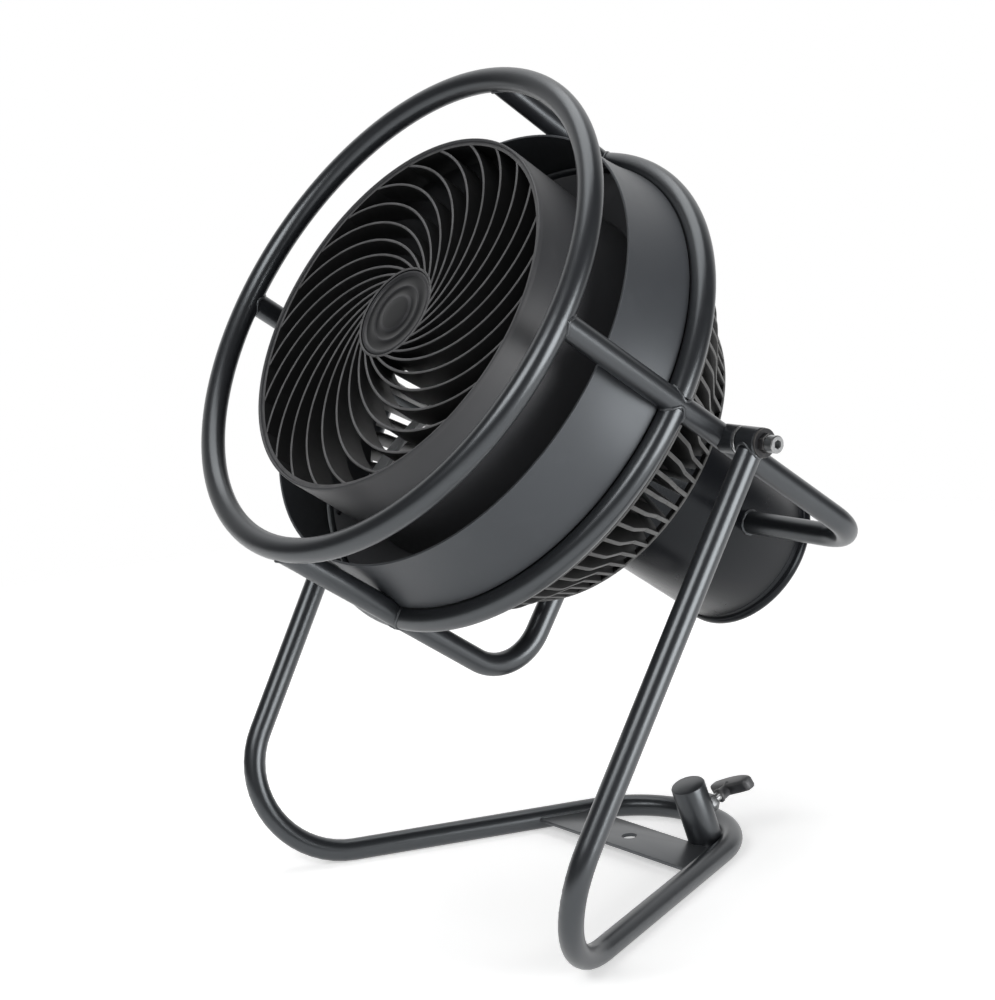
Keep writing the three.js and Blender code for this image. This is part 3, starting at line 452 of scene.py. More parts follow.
class Val:
    """A shader value. Python's operators on it add Math nodes."""

    def __init__(self, nodes: "Nodes", socket: bpy.types.NodeSocket) -> None:
        """Wraps one output socket."""
        self.nodes = nodes
        self.socket = socket

    def _math(self, operation: str, a: "Val | float", b: "Val | float") -> "Val":
        """Adds one Math node and wraps its output."""
        node = self.nodes.node("ShaderNodeMath", {"operation": operation}, {0: a, 1: b})
        return Val(self.nodes, node.outputs[0])

    def __add__(self, other: "Val | float") -> "Val":
        """This value plus another."""
        return self._math("ADD", self, other)

    def __sub__(self, other: "Val | float") -> "Val":
        """This value less another."""
        return self._math("SUBTRACT", self, other)

    def __rsub__(self, other: float) -> "Val":
        """A number less this value."""
        return self._math("SUBTRACT", other, self)

    def __mul__(self, other: "Val | float") -> "Val":
        """This value times another."""
        return self._math("MULTIPLY", self, other)

    __radd__ = __add__
    __rmul__ = __mul__


class Nodes:
    """A node tree under construction."""

    def __init__(self, tree: bpy.types.NodeTree) -> None:
        """Takes the tree that nodes are added to."""
        self.tree = tree

    def node(self, kind: str, settings: dict | None = None, inputs: dict | None = None) -> bpy.types.Node:
        """Adds one node.

        Args:
            kind: The node's type.
            settings: Its own settings.
            inputs: A value or a link for each socket, by name or number.

        Returns:
            The node.
        """
        node = self.tree.nodes.new(kind)
        for key, value in (settings or {}).items():
            setattr(node, key, value)
        for key, value in (inputs or {}).items():
            self.feed(node.inputs[key], value)
        return node

    def feed(self, socket: bpy.types.NodeSocket, value: object) -> None:
        """Sets or links one input socket.

        Args:
            socket: The input socket.
            value: A shader value, an output socket, or a plain value.
        """
        if isinstance(value, Val):
            value = value.socket
        if isinstance(value, bpy.types.NodeSocket):
            self.tree.links.new(value, socket)
        else:
            socket.default_value = value

    def ramp(self, value: Val, low: float, high: float) -> Val:
        """A value stretched so that low becomes 0 and high becomes 1."""
        node = self.node("ShaderNodeMapRange", {}, {"Value": value, "From Min": low, "From Max": high})
        return Val(self, node.outputs["Result"])

    def blend(self, share: Val | float, a: object, b: object) -> bpy.types.NodeSocket:
        """A mix of two colours."""
        node = self.node("ShaderNodeMix", {"data_type": "RGBA"}, {0: share, 6: a, 7: b})
        return node.outputs[2]

    def vector(self, operation: str, *vectors: object) -> Val:
        """A number worked out from one or two vectors.

        Args:
            operation: The Vector Math node's operation.
            vectors: The vectors, as values or output sockets.

        Returns:
            The number.
        """
        node = self.node("ShaderNodeVectorMath", {"operation": operation}, dict(enumerate(vectors)))
        return Val(self, node.outputs["Value"])

    def rays(self) -> tuple[Val, Val]:
        """The kinds of ray that the surround is shown to.

        Returns:
            Two factors: 1 for a camera ray, and 1 for a glossy or transmission ray.
        """
        path = self.node("ShaderNodeLightPath").outputs
        glossy, through = Val(self, path["Is Glossy Ray"]), Val(self, path["Is Transmission Ray"])
        return Val(self, path["Is Camera Ray"]), 1.0 - (1.0 - glossy) * (1.0 - through)


class Paint(Nodes):
    """One node material under construction."""

    def __init__(self, name: str) -> None:
        """Starts a material with its shader and its coordinates.

        Args:
            name: The material's name.
        """
        self.material = bpy.data.materials.new(name)
        self.material.use_nodes = True
        super().__init__(self.material.node_tree)
        self.tree.nodes.clear()
        self.shader = self.node("ShaderNodeBsdfPrincipled")
        self.output = self.node("ShaderNodeOutputMaterial", {}, {"Surface": self.shader.outputs["BSDF"]})
        self.place = self.node("ShaderNodeTexCoord").outputs["Object"]

    def noise(self, scale: float, detail: float = 3.0, stretch: Colour | None = None) -> Val:
        """A noise value on the object's own coordinates.

        Args:
            scale: Features per metre, about.
            detail: Octaves of finer noise.
            stretch: How each axis is scaled first, or None.

        Returns:
            The noise, about 0.5 on average.
        """
        place = self.place
        if stretch:
            place = self.node("ShaderNodeMapping", {}, {"Vector": place, "Scale": stretch}).outputs[0]
        inputs = {"Vector": place, "Scale": scale, "Detail": detail, "Roughness": 0.55}
        return Val(self, self.node("ShaderNodeTexNoise", {}, inputs).outputs["Fac"])

    def fade(self, amount: Val) -> None:
        """Lets the surface fade away.

        Args:
            amount: How clear it is, from 0 to 1.
        """
        clear = self.node("ShaderNodeBsdfTransparent").outputs[0]
        node = self.node("ShaderNodeMixShader", {}, {0: amount, 1: self.shader.outputs["BSDF"], 2: clear})
        self.feed(self.output.inputs["Surface"], node.outputs[0])

    def bump(self, height: Val, distance: float, strength: float) -> None:
        """Feeds the shader's normal from a height.

        Args:
            height: The relief's height.
            distance: Its depth in metres.
            strength: How much of it shows, from 0 to 1.
        """
        inputs = {"Height": height, "Distance": distance, "Strength": strength}
        self.feed(self.shader.inputs["Normal"], self.node("ShaderNodeBump", {}, inputs).outputs[0])


class Grain(Enum):
    """The fine relief of a finish."""

    ORANGE_PEEL = "orange peel of a powder coat"
    MOULDED = "fine even texture of a moulded part"
    CAST = "coarse skin of a casting"
    TURNED = "close lines of a turned or brushed part"


@dataclass(frozen=True)
class Finish:
    """One surface finish.

    Attributes:
        name: The material's name.
        slot: The record's material slot; not used in this script.
        colour: The base colour.
        worn_and_highlight: The colour where dust or wear shows, and the colour of the painted highlight along
            edges.
        rough: The middle roughness.
        metallic: How metallic it is.
        grain: Its fine relief.
        relief: The depth of that relief, in metres.
        wear: How much of the worn_and_highlight colour shows in scuffs, from 0 to 1.
        coat: The clear coat's weight.
        specular: The shader's specular level.
        edge: How much of the worn_and_highlight colour shows along edges, from 0 to 1: partly wear, partly a
            painted highlight.
        tint: The colour of its sheen.
    """

    name: str
    slot: str
    colour: Colour
    worn_and_highlight: Colour
    rough: float
    metallic: float
    grain: Grain
    relief: float = 4e-5
    wear: float = 0.15
    coat: float = 0.0
    specular: float = 0.5
    edge: float = 0.35
    tint: Colour = (1.0, 1.0, 1.0)

    def _relief(self, paint: Paint) -> Val:
        """The fine relief.

        Args:
            paint: The material that it is for.

        Returns:
            Its height.
        """
        if self.grain is Grain.ORANGE_PEEL:
            return paint.noise(620.0, 2.0) * 0.7 + paint.noise(1500.0, 1.0) * 0.3
        if self.grain is Grain.MOULDED:
            return paint.noise(1900.0, 2.0)
        if self.grain is Grain.CAST:
            return paint.noise(380.0, 4.0) * 0.8 + paint.noise(1300.0, 2.0) * 0.2
        return paint.noise(260.0, 3.0, (1.0, 1.0, 14.0))

    def material(self) -> bpy.types.Material:
        """The finish as a node material.

        Returns:
            The material, which is made at the first call.
        """
        made = bpy.data.materials.get(self.name)
        if made:
            return made
        paint = Paint(self.name)
        shader = paint.shader.inputs
        broad = paint.noise(9.0, 4.0)
        fine = paint.noise(140.0, 5.0)
        edges = Val(paint, paint.node("ShaderNodeAttribute", {"attribute_name": "edge"}).outputs["Fac"])
        # Marked edges: partly wear, partly a painted highlight that lightens the edges of the dark plastics.
        edge_wear_and_highlight = edges * (paint.ramp(paint.noise(70.0, 4.0), 0.3, 0.7) * 0.5 + 0.5) * self.edge
        scuffs_and_edge_highlight = paint.ramp(paint.noise(46.0, 6.0), 0.56, 0.72) * self.wear
        scuffs_and_edge_highlight = 1.0 - (1.0 - scuffs_and_edge_highlight) * (1.0 - edge_wear_and_highlight)
        shade = paint.blend(broad, rgba(self.colour, 0.82), rgba(self.colour, 1.18))
        paint.feed(shader["Base Color"], paint.blend(scuffs_and_edge_highlight, shade, rgba(self.worn_and_highlight)))
        paint.feed(shader["Roughness"], broad * 0.08 + fine * 0.04 + scuffs_and_edge_highlight * 0.2 + (self.rough - 0.06))
        shader["Metallic"].default_value = self.metallic
        shader["Coat Weight"].default_value = self.coat
        shader["Coat Roughness"].default_value = 0.12
        shader["Specular IOR Level"].default_value = self.specular
        shader["Specular Tint"].default_value = rgba(self.tint)
        paint.bump(self._relief(paint), self.relief, 0.5)
        return paint.material


COOL: Colour = (0.9, 0.955, 1.0)  # the slightly blue sheen of the coats

POWDER = Finish("powder_coat", "frame_coat", (0.013, 0.014, 0.016), (0.04, 0.041, 0.044), 0.3, 0.0,
                Grain.ORANGE_PEEL, 1.2e-5, 0.1, specular=0.9, tint=COOL)
DRUM = Finish("drum_paint", "drum_coat", (0.043, 0.046, 0.051), (0.085, 0.089, 0.095), 0.42, 0.0,
              Grain.ORANGE_PEEL, 2e-5, 0.1, tint=COOL)
WELD = Finish("coated_weld", "frame_coat", (0.014, 0.015, 0.017), (0.05, 0.051, 0.054), 0.3, 0.0,
              Grain.CAST, 8e-5, 0.15, specular=0.9, tint=COOL)
# A darker copy of the frame coat: painted shade on the motor can and its rear cap; the lower sheen is the
# can's own satin paint.
CAN_SHADED = Finish("can_coat_shaded", "frame_coat", (0.005, 0.0055, 0.007), (0.03, 0.03, 0.033), 0.26, 0.0,
             Grain.ORANGE_PEEL, 8e-6, 0.1, specular=0.22, tint=COOL)
# A lighter copy of the frame coat: painted light on the plate's upward face.
PLATE_LIT = Finish("plate_coat_lit", "frame_coat", (0.045, 0.047, 0.051), (0.09, 0.092, 0.098), 0.3, 0.0,
               Grain.ORANGE_PEEL, 2e-5, 0.12, specular=0.9, tint=COOL)
MOULDED = Finish("moulded_black", "duct_plastic", (0.034, 0.035, 0.038), (0.07, 0.07, 0.074), 0.46, 0.0,
                 Grain.MOULDED, 3e-5, 0.1)
# The vanes' and ribs' light worn_and_highlight colour on their edges is a painted highlight.
VANE = Finish("vane_black", "grille_plastic", (0.012, 0.012, 0.0125), (0.16, 0.16, 0.165), 0.44, 0.0,
              Grain.MOULDED, 2e-5, 0.03, specular=0.4, edge=0.6)
RIB = Finish("rib_black", "grille_plastic", (0.012, 0.012, 0.012), (0.16, 0.16, 0.158), 0.42, 0.0,
             Grain.MOULDED, 2e-5, 0.03, specular=0.45, edge=0.5)
# The badge's lighter edge colour is a painted highlight.
BADGE = Finish("badge_black", "badge_plastic", (0.01, 0.0105, 0.0115), (0.05, 0.05, 0.055), 0.36, 0.0,
               Grain.MOULDED, 1e-5, 0.08, 0.05, 0.35, 0.5)
PROP = Finish("propeller_grey", "propeller_plastic", (0.27, 0.28, 0.29), (0.4, 0.4, 0.4), 0.42, 0.0,
              Grain.MOULDED, 2e-5, 0.2)
BRIGHT = Finish("polished_steel", "bright_steel", (0.78, 0.79, 0.8), (0.35, 0.34, 0.33), 0.26, 1.0,
                Grain.TURNED, 2e-5, 0.3)
BLACK_STEEL = Finish("blackened_steel", "black_steel", (0.02, 0.02, 0.022), (0.16, 0.15, 0.14), 0.36, 0.3,
                     Grain.TURNED, 2e-5, 0.3)
ZINC = Finish("zinc_nut", "bright_steel", (0.2, 0.205, 0.21), (0.06, 0.06, 0.06), 0.4, 1.0,
              Grain.CAST, 6e-5, 0.5)
SCREW_STEEL = Finish("screw_steel", "black_steel", (0.38, 0.385, 0.39), (0.3, 0.29, 0.28), 0.3, 1.0,
                     Grain.TURNED, 2e-5, 0.3)
CAST = Finish("grip_casting", "cast_grip", (0.055, 0.056, 0.06), (0.16, 0.16, 0.16), 0.42, 0.4,
              Grain.CAST, 1.5e-4, 0.4)
MOTOR = Finish("motor_sheet", "motor_steel", (0.3, 0.31, 0.32), (0.16, 0.13, 0.1), 0.38, 1.0,
               Grain.TURNED, 4e-5, 0.4)


class Body(Enum):
    """The CAD bodies that pieces ride on."""

    STAND = "floor_stand"
    HEAD = "fan_head"
    ROTOR = "propeller_rotor"
    KNOB = "speed_control"
    STUD = "clamp_stud"
    HANDLE = "clamp_handle"


def dress(obj: bpy.types.Object, finish: Finish, body: Body, *nodes: str) -> bpy.types.Object:
    """Gives a piece its finish and its body, and says which CAD nodes it replaces.

    Args:
        obj: The piece.
        finish: Its finish.
        body: The body that it moves with.
        nodes: The CAD nodes that it stands for.

    Returns:
        The piece.
    """
    obj.data.materials.clear()
    obj.data.materials.append(finish.material())
    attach(obj, body.value)
    if nodes:
        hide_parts(*nodes)
    log.info("%s: %d faces on %s", obj.name, len(obj.data.polygons), body.value)
    return obj


def skin(
    shell: Shell, node: str, finish: Finish, body: Body = Body.HEAD, place: Matrix | None = None,
    sharp: float = 32.0,
) -> None:
    """Makes a shell the dressed skin of one CAD node.

    Args:
        shell: The shell, which is used up.
        node: The CAD node that it stands for.
        finish: Its finish.
        body: The body that it moves with.
        place: The frame that it was modelled in, or None for the head's.
        sharp: The angle in degrees above which an edge stays crisp.
    """
    dress(shell.piece(f"{node}_skin", place or head_place(), sharp), finish, body, node)


def bead(path: Path, radius: float = 1.3) -> Shell:
    """A weld bead along a closed line, with a ripple at every third station."""
    ripples = len(path.points) // 3
    return Shell().sweep(path, circle(radius, 10), lambda t: 1.0 + 0.16 * math.sin(math.tau * ripples * t))


def drill(radius: float, place: Matrix, sides: int = 32) -> bpy.types.Object:
    """A round bar, 30 mm up Z from its place, that cuts a hole."""
    bar = Shell().revolve([(0, 0), (radius, 0), (radius, 30), (0, 30)], sides)
    return bar.piece("drill", place)


def carve(target: bpy.types.Object, cutter: bpy.types.Object) -> None:
    """Cuts one piece by another, which is then removed.

    Args:
        target: The piece that is cut.
        cutter: The piece that cuts it.
    """
    cut = target.modifiers.new("cut", "BOOLEAN")
    cut.operation = "DIFFERENCE"
    cut.solver = "EXACT"
    cut.object = cutter
    graph = bpy.context.evaluated_depsgraph_get()
    mesh = bpy.data.meshes.new_from_object(target.evaluated_get(graph))
    target.modifiers.clear()
    target.data = mesh
    mesh.shade_smooth()
    mesh.set_sharp_from_angle(angle=math.radians(30))
    bpy.data.objects.remove(cutter)


# ---------- floor stand ----------
@dataclass
class FloorStand:
    """The bent yoke tube with its top bosses and cross plate. Sizes in mm."""

    leg_x: float = 231.0
    toe: Pair = (213.0, -237.0)
    heel: Pair = (61.5, 131.0)
    toe_bend: float = 75.0
    heel_bend: float = 82.5
    tube: float = TUBE_R * 0.982
    sides: int = 32
    foot: float = TUBE_R * math.cos(math.pi / 16)
    boss_r: float = 11.0
    boss_half: float = 9.5
    bore_r: float = 4.3
    plate_y: Pair = (28.4, 73.5)
    plate_z: Pair = (9.0, 12.0)
    hole_r: float = 6.5
    hole_y: float = 50.0

    def yoke(self) -> None:
        """The one long tube: legs, runners and rear bend."""
        toe, heel = (Vector((*spot, self.foot)) for spot in (self.toe, self.heel))
        half = [Vector((self.leg_x, 0, PIVOT.z)), toe, heel]
        corners = half + [Vector((-p.x, p.y, p.z)) for p in reversed(half)]
        leg = (corners[1] - corners[0]).normalized()
        corners[0] = corners[0] + leg * (self.boss_r - 2.5)
        corners[-1] = Vector((-corners[0].x, corners[0].y, corners[0].z))
        radii = (self.toe_bend, self.heel_bend, self.heel_bend, self.toe_bend)
        path = bent_path(corners, radii, Vector((0, 0, 1)), 18)
        turned = Matrix.Rotation(math.pi / self.sides, 4, "Z")
        section = [tuple((turned @ Vector((x, y, 0)))[:2]) for x, y in circle(self.tube, self.sides)]
        skin(Shell().sweep(path, section), "yoke_tube", POWDER, Body.STAND, stand_place(), 40.0)

    def bosses(self) -> None:
        """The bored boss on each leg, with the bead that joins it to the leg."""
        place = stand_place() @ Matrix.Translation((0, 0, PIVOT.z))
        r, e, bore = self.boss_r, 0.9, self.bore_r
        low, high = self.leg_x - self.boss_half, self.leg_x + self.boss_half
        profile = [(bore, low), (r - e, low), (r, low + e), (r, high - e), (r - e, high), (bore, high)]
        for name, side in SIDES:
            shell = Shell().revolve(profile, 48, True).place(along_x(side))
            skin(shell, f"yoke_boss_{name}", POWDER, Body.STAND, place)
            leg = Vector((side * (self.toe[0] - self.leg_x), self.toe[1], self.foot - PIVOT.z))
            joint = basis(Vector((1, 0, 0)), leg, Vector((side * self.leg_x, 0, 0)))
            weld = bead(saddle_path(joint, TUBE_R - 0.2, r - 0.3), 1.2)
            dress(weld.piece(f"yoke_weld_{name}", place, 60.0), WELD, Body.STAND)

    def runner_x(self, y: float) -> float:
        """How far out the right runner's centre is at a place along Y."""
        (x0, y0), (x1, y1) = self.toe, self.heel
        return x0 + (y - y0) * (x1 - x0) / (y1 - y0)

    def plate(self) -> None:
        """The cross plate between the runners, with its round hole."""
        front, rear = self.plate_y
        inset = TUBE_R * 0.6
        corners = [(self.runner_x(front) - inset, front), (self.runner_x(rear) - inset, rear)]
        outline = [*corners, *[(-x, y) for x, y in reversed(corners)]]
        plate = Shell().plate(outline, *self.plate_z, 0.4).piece("base_plate_skin", stand_place())
        carve(plate, drill(self.hole_r, stand_place() @ Matrix.Translation((0, self.hole_y, -5)), 48))
        dress(plate, PLATE_LIT, Body.STAND, "base_plate")

    def plate_welds(self) -> None:
        """The bead along each end of the plate."""
        front, rear = self.plate_y
        steps = 22
        for name, side in SIDES:
            start, end = (
                Vector((side * (self.runner_x(y) - TUBE_R * 1.02), y, self.plate_z[1]))
                for y in (front + 2, rear - 2)
            )
            points = [start.lerp(end, i / steps) for i in range(steps + 1)]
            line = Path(points, [(end - start).normalized()] * len(points), Vector((0, 0, 1)))
            weld = Shell().sweep(line, circle(1.5, 8), lambda t: 0.9 + 0.14 * math.sin(66 * t))
            dress(weld.piece(f"plate_weld_{name}", stand_place(), 60.0), WELD, Body.STAND)

    def build(self) -> None:
        """Builds and dresses the stand."""
        self.yoke()
        self.bosses()
        self.plate()
        self.plate_welds()


# ---------- stand receiver ----------
@dataclass
class StandReceiver:
    """The sleeve for a stand pin, with its clamp screw and T grip. Sizes in mm."""

    radius: float = 14.3
    bore: float = 8.1
    top: float = 28.0
    bottom: float = -33.0
    cap: float = 5.0
    boss_flats: float = 14.28
    boss_end: float = 20.0
    weld_r: float = 7.7
    screw_r: float = 4.0
    screw_tip: float = 8.6
    thread: float = 0.45
    pitch: float = 1.25
    grip_start: float = 26.0
    wing_at: float = 43.0
    wing_half: float = 26.0
    wing_tip: float = 4.4
    wing_swell: Pair = (10.0, 7.6)
    wing_turn: float = -20.0

    def sleeve(self) -> None:
        """The sleeve with its closed top and the screw's hole."""
        r, e, bore = self.radius, 1.2, self.bore
        profile = [(0, self.top - self.cap), (bore, self.top - self.cap), (bore, self.bottom + 1),
                   (bore + 1, self.bottom), (r - 0.5, self.bottom), (r, self.bottom + 0.5), (r, self.top - e),
                   (r - 0.35 * e, self.top - 0.35 * e), (r - e, self.top), (0, self.top)]
        sleeve = Shell().revolve(profile, 64).piece("stand_receiver_skin", receiver_place())
        carve(sleeve, self.hole())
        dress(sleeve, POWDER, Body.STAND, "stand_receiver")

    def hole(self) -> bpy.types.Object:
        """The bar that cuts the screw's hole."""
        return drill(self.screw_r + GAP, receiver_place() @ along_y())

    def boss(self) -> None:
        """The threaded boss on the sleeve's side: a bright hexagon, with its weld."""
        shell = Shell().plate(hexagon(self.boss_flats), self.radius - 1.5, self.boss_end, 0.6)
        nut = shell.place(along_y()).piece("clamp_boss_skin", receiver_place())
        carve(nut, self.hole())
        dress(nut, ZINC, Body.STAND, "receiver_clamp_boss")
        joint = basis(Vector((0, 0, 1)), Vector((0, 1, 0)), Vector((0, 0, 0)))
        weld = bead(saddle_path(joint, self.weld_r, self.radius - 0.2), 1.1)
        dress(weld.piece("clamp_boss_weld", receiver_place(), 60.0), WELD, Body.STAND)

    def screw(self) -> None:
        """The clamp screw with its thread."""
        r, tip, end = self.screw_r, self.screw_tip, self.wing_at - 6
        root = r - self.thread
        profile = [(0, tip), (r - 1, tip), (root, tip + 1)]
        profile += turned_rings(int((end - tip - 2) / self.pitch), tip + 1, end - 1, root, r)
        profile += [(root, end), (0, end)]
        shell = Shell().revolve(profile, 32).place(along_y())
        skin(shell, "clamp_screw", BRIGHT, Body.STUD, receiver_place())

    def wing(self) -> Shell:
        """The grip's cross bar, crowned above and below.

        Returns:
            The bar, at its place along the screw.
        """
        half, tip, steps = self.wing_half, self.wing_tip, 14
        across = [half - 2 * half * i / steps for i in range(steps + 1)]
        top, under = (
            [(x, tip + (swell - tip) * (1 - (x / half) ** 2)) for x in across] for swell in self.wing_swell
        )
        wing = Shell().plate([*top, *[(x, -y) for x, y in reversed(under)]], -5.4, 5.4, 2.6)
        wing.place(Matrix.Translation((0, self.wing_at, 0)))
        return wing.place(Matrix.Rotation(math.radians(self.wing_turn), 4, "Y"))

    def grip(self) -> None:
        """The cast T grip: a tapered neck and the wing."""
        start, at = self.grip_start, self.wing_at
        profile = [(4.4, start), (5.4, start), (6.0, start + 0.8), (6.0, start + 2.2), (5.2, start + 3.2),
                   (4.9, at - 7), (6.4, at - 3), (4.4, at - 2.4)]
        shell = self.wing().add(Shell().revolve(profile, 40, True).place(along_y()))
        dress(shell.piece("clamp_grip_skin", receiver_place(), 50.0), CAST, Body.HANDLE, "clamp_grip")

    def build(self) -> None:
        """Builds and dresses the receiver and its clamp."""
        self.sleeve()
        self.boss()
        self.screw()
        self.grip()


# ---------- guard frame ----------
@dataclass(frozen=True)
class Strut:
    """One of the four long struts.

    Attributes:
        name: Its CAD node.
        angle: Where it stands round the axis, in degrees.
        back: The station at which it turns in to the can.
    """

    name: str
    angle: float
    back: float


STRUTS = (Strut("strut_right", 0.0, -179.0), Strut("strut_top", 90.0, -75.0),
          Strut("strut_left", 180.0, -179.0), Strut("strut_bottom", 270.0, -75.0))
ARCS = ("upper_right", "upper_left", "lower_left", "lower_right")


@dataclass
class GuardFrame:
    """The two rings and the struts that carry the fan. Sizes in mm."""

    ring_r: float = 200.0
    front: float = 181.0
    rear: float = 55.5
    bend: float = 45.0
    can_r: float = 70.5
    tube: float = TUBE_R * 0.992
    arc_gap: float = 1.4
    boss_r: float = 11.0
    boss_end: float = 218.5

    def rings(self) -> None:
        """The front ring, and the rear ring in its four arcs."""
        shell = Shell().tube(ring_path(self.ring_r, self.front, 0, 360, 160), self.tube)
        dress(shell.piece("front_ring_skin", head_place()), POWDER, Body.HEAD, "guard_front_ring")
        for quarter, name in enumerate(ARCS):
            start = 90.0 * quarter + self.arc_gap
            path = ring_path(self.ring_r, self.rear, start, start + 90.0 - 2 * self.arc_gap, 44)
            skin(Shell().tube(path, self.tube), f"guard_rear_arc_{name}", POWDER)

    def struts(self) -> None:
        """The four struts, from the front ring back and in to the can."""
        for strut in STRUTS:
            corners = [Vector((self.ring_r, 0, self.front - 3)), Vector((self.ring_r, 0, strut.back)),
                       Vector((self.can_r - 3, 0, strut.back))]
            path = bent_path(corners, (self.bend,), Vector((0, 1, 0)), 20)
            skin(Shell().tube(path, self.tube).place(about_z(strut.angle)), strut.name, POWDER)

    def welds(self) -> None:
        """The beads at the rings, on the struts and on the can."""
        seams = Shell()
        x, y, z = Vector((1, 0, 0)), Vector((0, 1, 0)), Vector((0, 0, 1))
        at = x * self.ring_r
        for strut in STRUTS:
            joints = [
                (basis(y, -z, at + z * self.front), self.tube - 0.3, self.tube),
                (basis(z, y, at + z * self.rear), self.tube - 0.3, self.tube),
                (basis(z, -y, at + z * self.rear), self.tube - 0.3, self.tube),
                (basis(z, x, z * strut.back), self.tube + 0.2, self.can_r),
            ]
            for joint, tube, other in joints:
                seams.add(bead(saddle_path(about_z(strut.angle) @ joint, tube, other)))
        dress(seams.piece("guard_welds", head_place(), 60.0), WELD, Body.HEAD)

    def tilt_bosses(self) -> None:
        """The boss on each side strut that the tilt screw goes into."""
        r, e, start, end = self.boss_r, 0.8, self.ring_r + 3, self.boss_end
        joint = basis(Vector((0, 1, 0)), Vector((0, 0, 1)), Vector((0, 0, self.ring_r)))
        for name, side in SIDES:
            shell = Shell().revolve([(0, start), (r, start), (r, end - e), (r - e, end), (0, end)], 48)
            shell.add(bead(saddle_path(joint, self.tube - 0.4, self.tube), 1.5))
            skin(shell.place(along_x(side)), f"pivot_boss_{name}", POWDER)

    def build(self) -> None:
        """Builds and dresses the guard frame."""
        self.rings()
        self.struts()
        self.welds()
        self.tilt_bosses()


# ---------- tilt pivots ----------
@dataclass
class TiltPivots:
    """The washers, lock nuts and screws on both ends of the tilt axis. Sizes in mm along X."""

    friction: Pair = (218.8, 221.2)
    friction_r: float = 11.0
    flat: Pair = (240.8, 242.8)
    flat_r: float = 10.75
    nut: Pair = (243.1, 247.1)
    head: Pair = (247.4, 255.4)
    nut_flats: float = 13.0
    head_r: float = 6.5
    shank_r: float = 3.9
    tip: float = 210.4
    key_flats: float = 6.0
    key_depth: float = 4.8
    bore: float = 4.3

    def washer(self, name: str, radius: float, span: Pair, finish: Finish, side: float) -> None:
        """One washer with softened edges.

        Args:
            name: Its CAD node.
            radius: Its outer radius.
            span: Where it starts and ends along the axis.
            finish: Its finish.
            side: 1 for the right, -1 for the left.
        """
        (low, high), e, r, bore = span, 0.35, radius, self.bore
        profile = [(bore, low), (r - e, low), (r, low + e), (r, high - e), (r - e, high), (bore, high)]
        skin(Shell().revolve(profile, 56, True).place(along_x(side)), name, finish)

    def lock_nut(self, name: str, side: float) -> None:
        """The thin hexagon behind the screw's head."""
        skin(Shell().plate(hexagon(self.nut_flats), *self.nut, 0.4).place(along_x(side)), name, BLACK_STEEL)

    def screw(self, name: str, side: float) -> None:
        """The socket-head screw with its hexagon socket.

        Args:
            name: Its CAD node.
            side: 1 for the right, -1 for the left.
        """
        low, high = self.head
        r, e, shank, tip = self.head_r, 0.7, self.shank_r, self.tip
        profile = [(0, tip), (shank - 0.3, tip), (shank, tip + 0.6), (shank, low), (r - 0.3, low),
                   (r, low + 0.4), (r, high - e), (r - e, high), (0, high)]
        screw = Shell().revolve(profile, 72).place(along_x(side)).piece(f"{name}_skin", head_place())
        key = Shell().plate(hexagon(self.key_flats), high - self.key_depth, high + 2.0).place(along_x(side))
        carve(screw, key.piece("socket", head_place()))
        dress(screw, SCREW_STEEL, Body.HEAD, name)

    def build(self) -> None:
        """Builds and dresses both pivots."""
        for name, side in SIDES:
            self.washer(f"friction_washer_{name}", self.friction_r, self.friction, BRIGHT, side)
            self.washer(f"flat_washer_{name}", self.flat_r, self.flat, BLACK_STEEL, side)
            self.lock_nut(f"lock_nut_{name}", side)
            self.screw(f"pivot_screw_{name}", side)


# ---------- drum and nozzle ----------
@dataclass
class DrumAndNozzle:
    """The sheet-metal drum and the moulded nozzle duct inside it. Sizes in mm."""

    lip_r: float = 186.4
    lip: float = 123.5
    rear_r: float = 194.4
    rear: float = 64.6
    wall: float = 1.8
    nozzle_r: float = 149.9
    nozzle_wall: float = 2.5
    nozzle_lip: float = 179.0
    web: float = 57.6
    web_r: float = 189.2

    def drum(self) -> None:
        """The drum, flaring towards its rear edge, with a rolled front lip."""
        steps, front = 14, self.lip - 1.2
        flare, run = self.rear_r - self.lip_r, self.rear - front
        shares = [i / steps for i in range(steps + 1)]
        outer = [(self.lip_r + flare * t**2.2, front + run * t) for t in shares]
        inner = [(r - self.wall, s) for r, s in reversed(outer)]
        roll = [(self.lip_r - self.wall, self.lip - 0.3), (self.lip_r - 0.5 * self.wall, self.lip),
                (self.lip_r, self.lip - 0.4)]
        skin(Shell().revolve([*outer, *inner, *roll], 144, True), "drum_shell", DRUM, sharp=50.0)

    def nozzle(self) -> None:
        """The duct with its rounded lip and its rear web."""
        r, w, lip, web, out = self.nozzle_r, self.nozzle_wall, self.nozzle_lip, self.web, self.web_r
        flange = [(r - w, web), (out, web), (out, web + w), (r + 5, web + w), (r + 1.4, web + 4),
                  (r, web + 7.5)]
        rim = [(r, lip - 4), (r - 0.1, lip - 1.1), (r - 0.6, lip - 0.3), (r - 1.25, lip),
               (r - 1.9, lip - 0.3), (r - w, lip - 1.2)]
        skin(Shell().revolve([*flange, *rim], 144, True), "nozzle_duct", MOULDED, sharp=40.0)

    def build(self) -> None:
        """Builds and dresses both."""
        self.drum()
        self.nozzle()


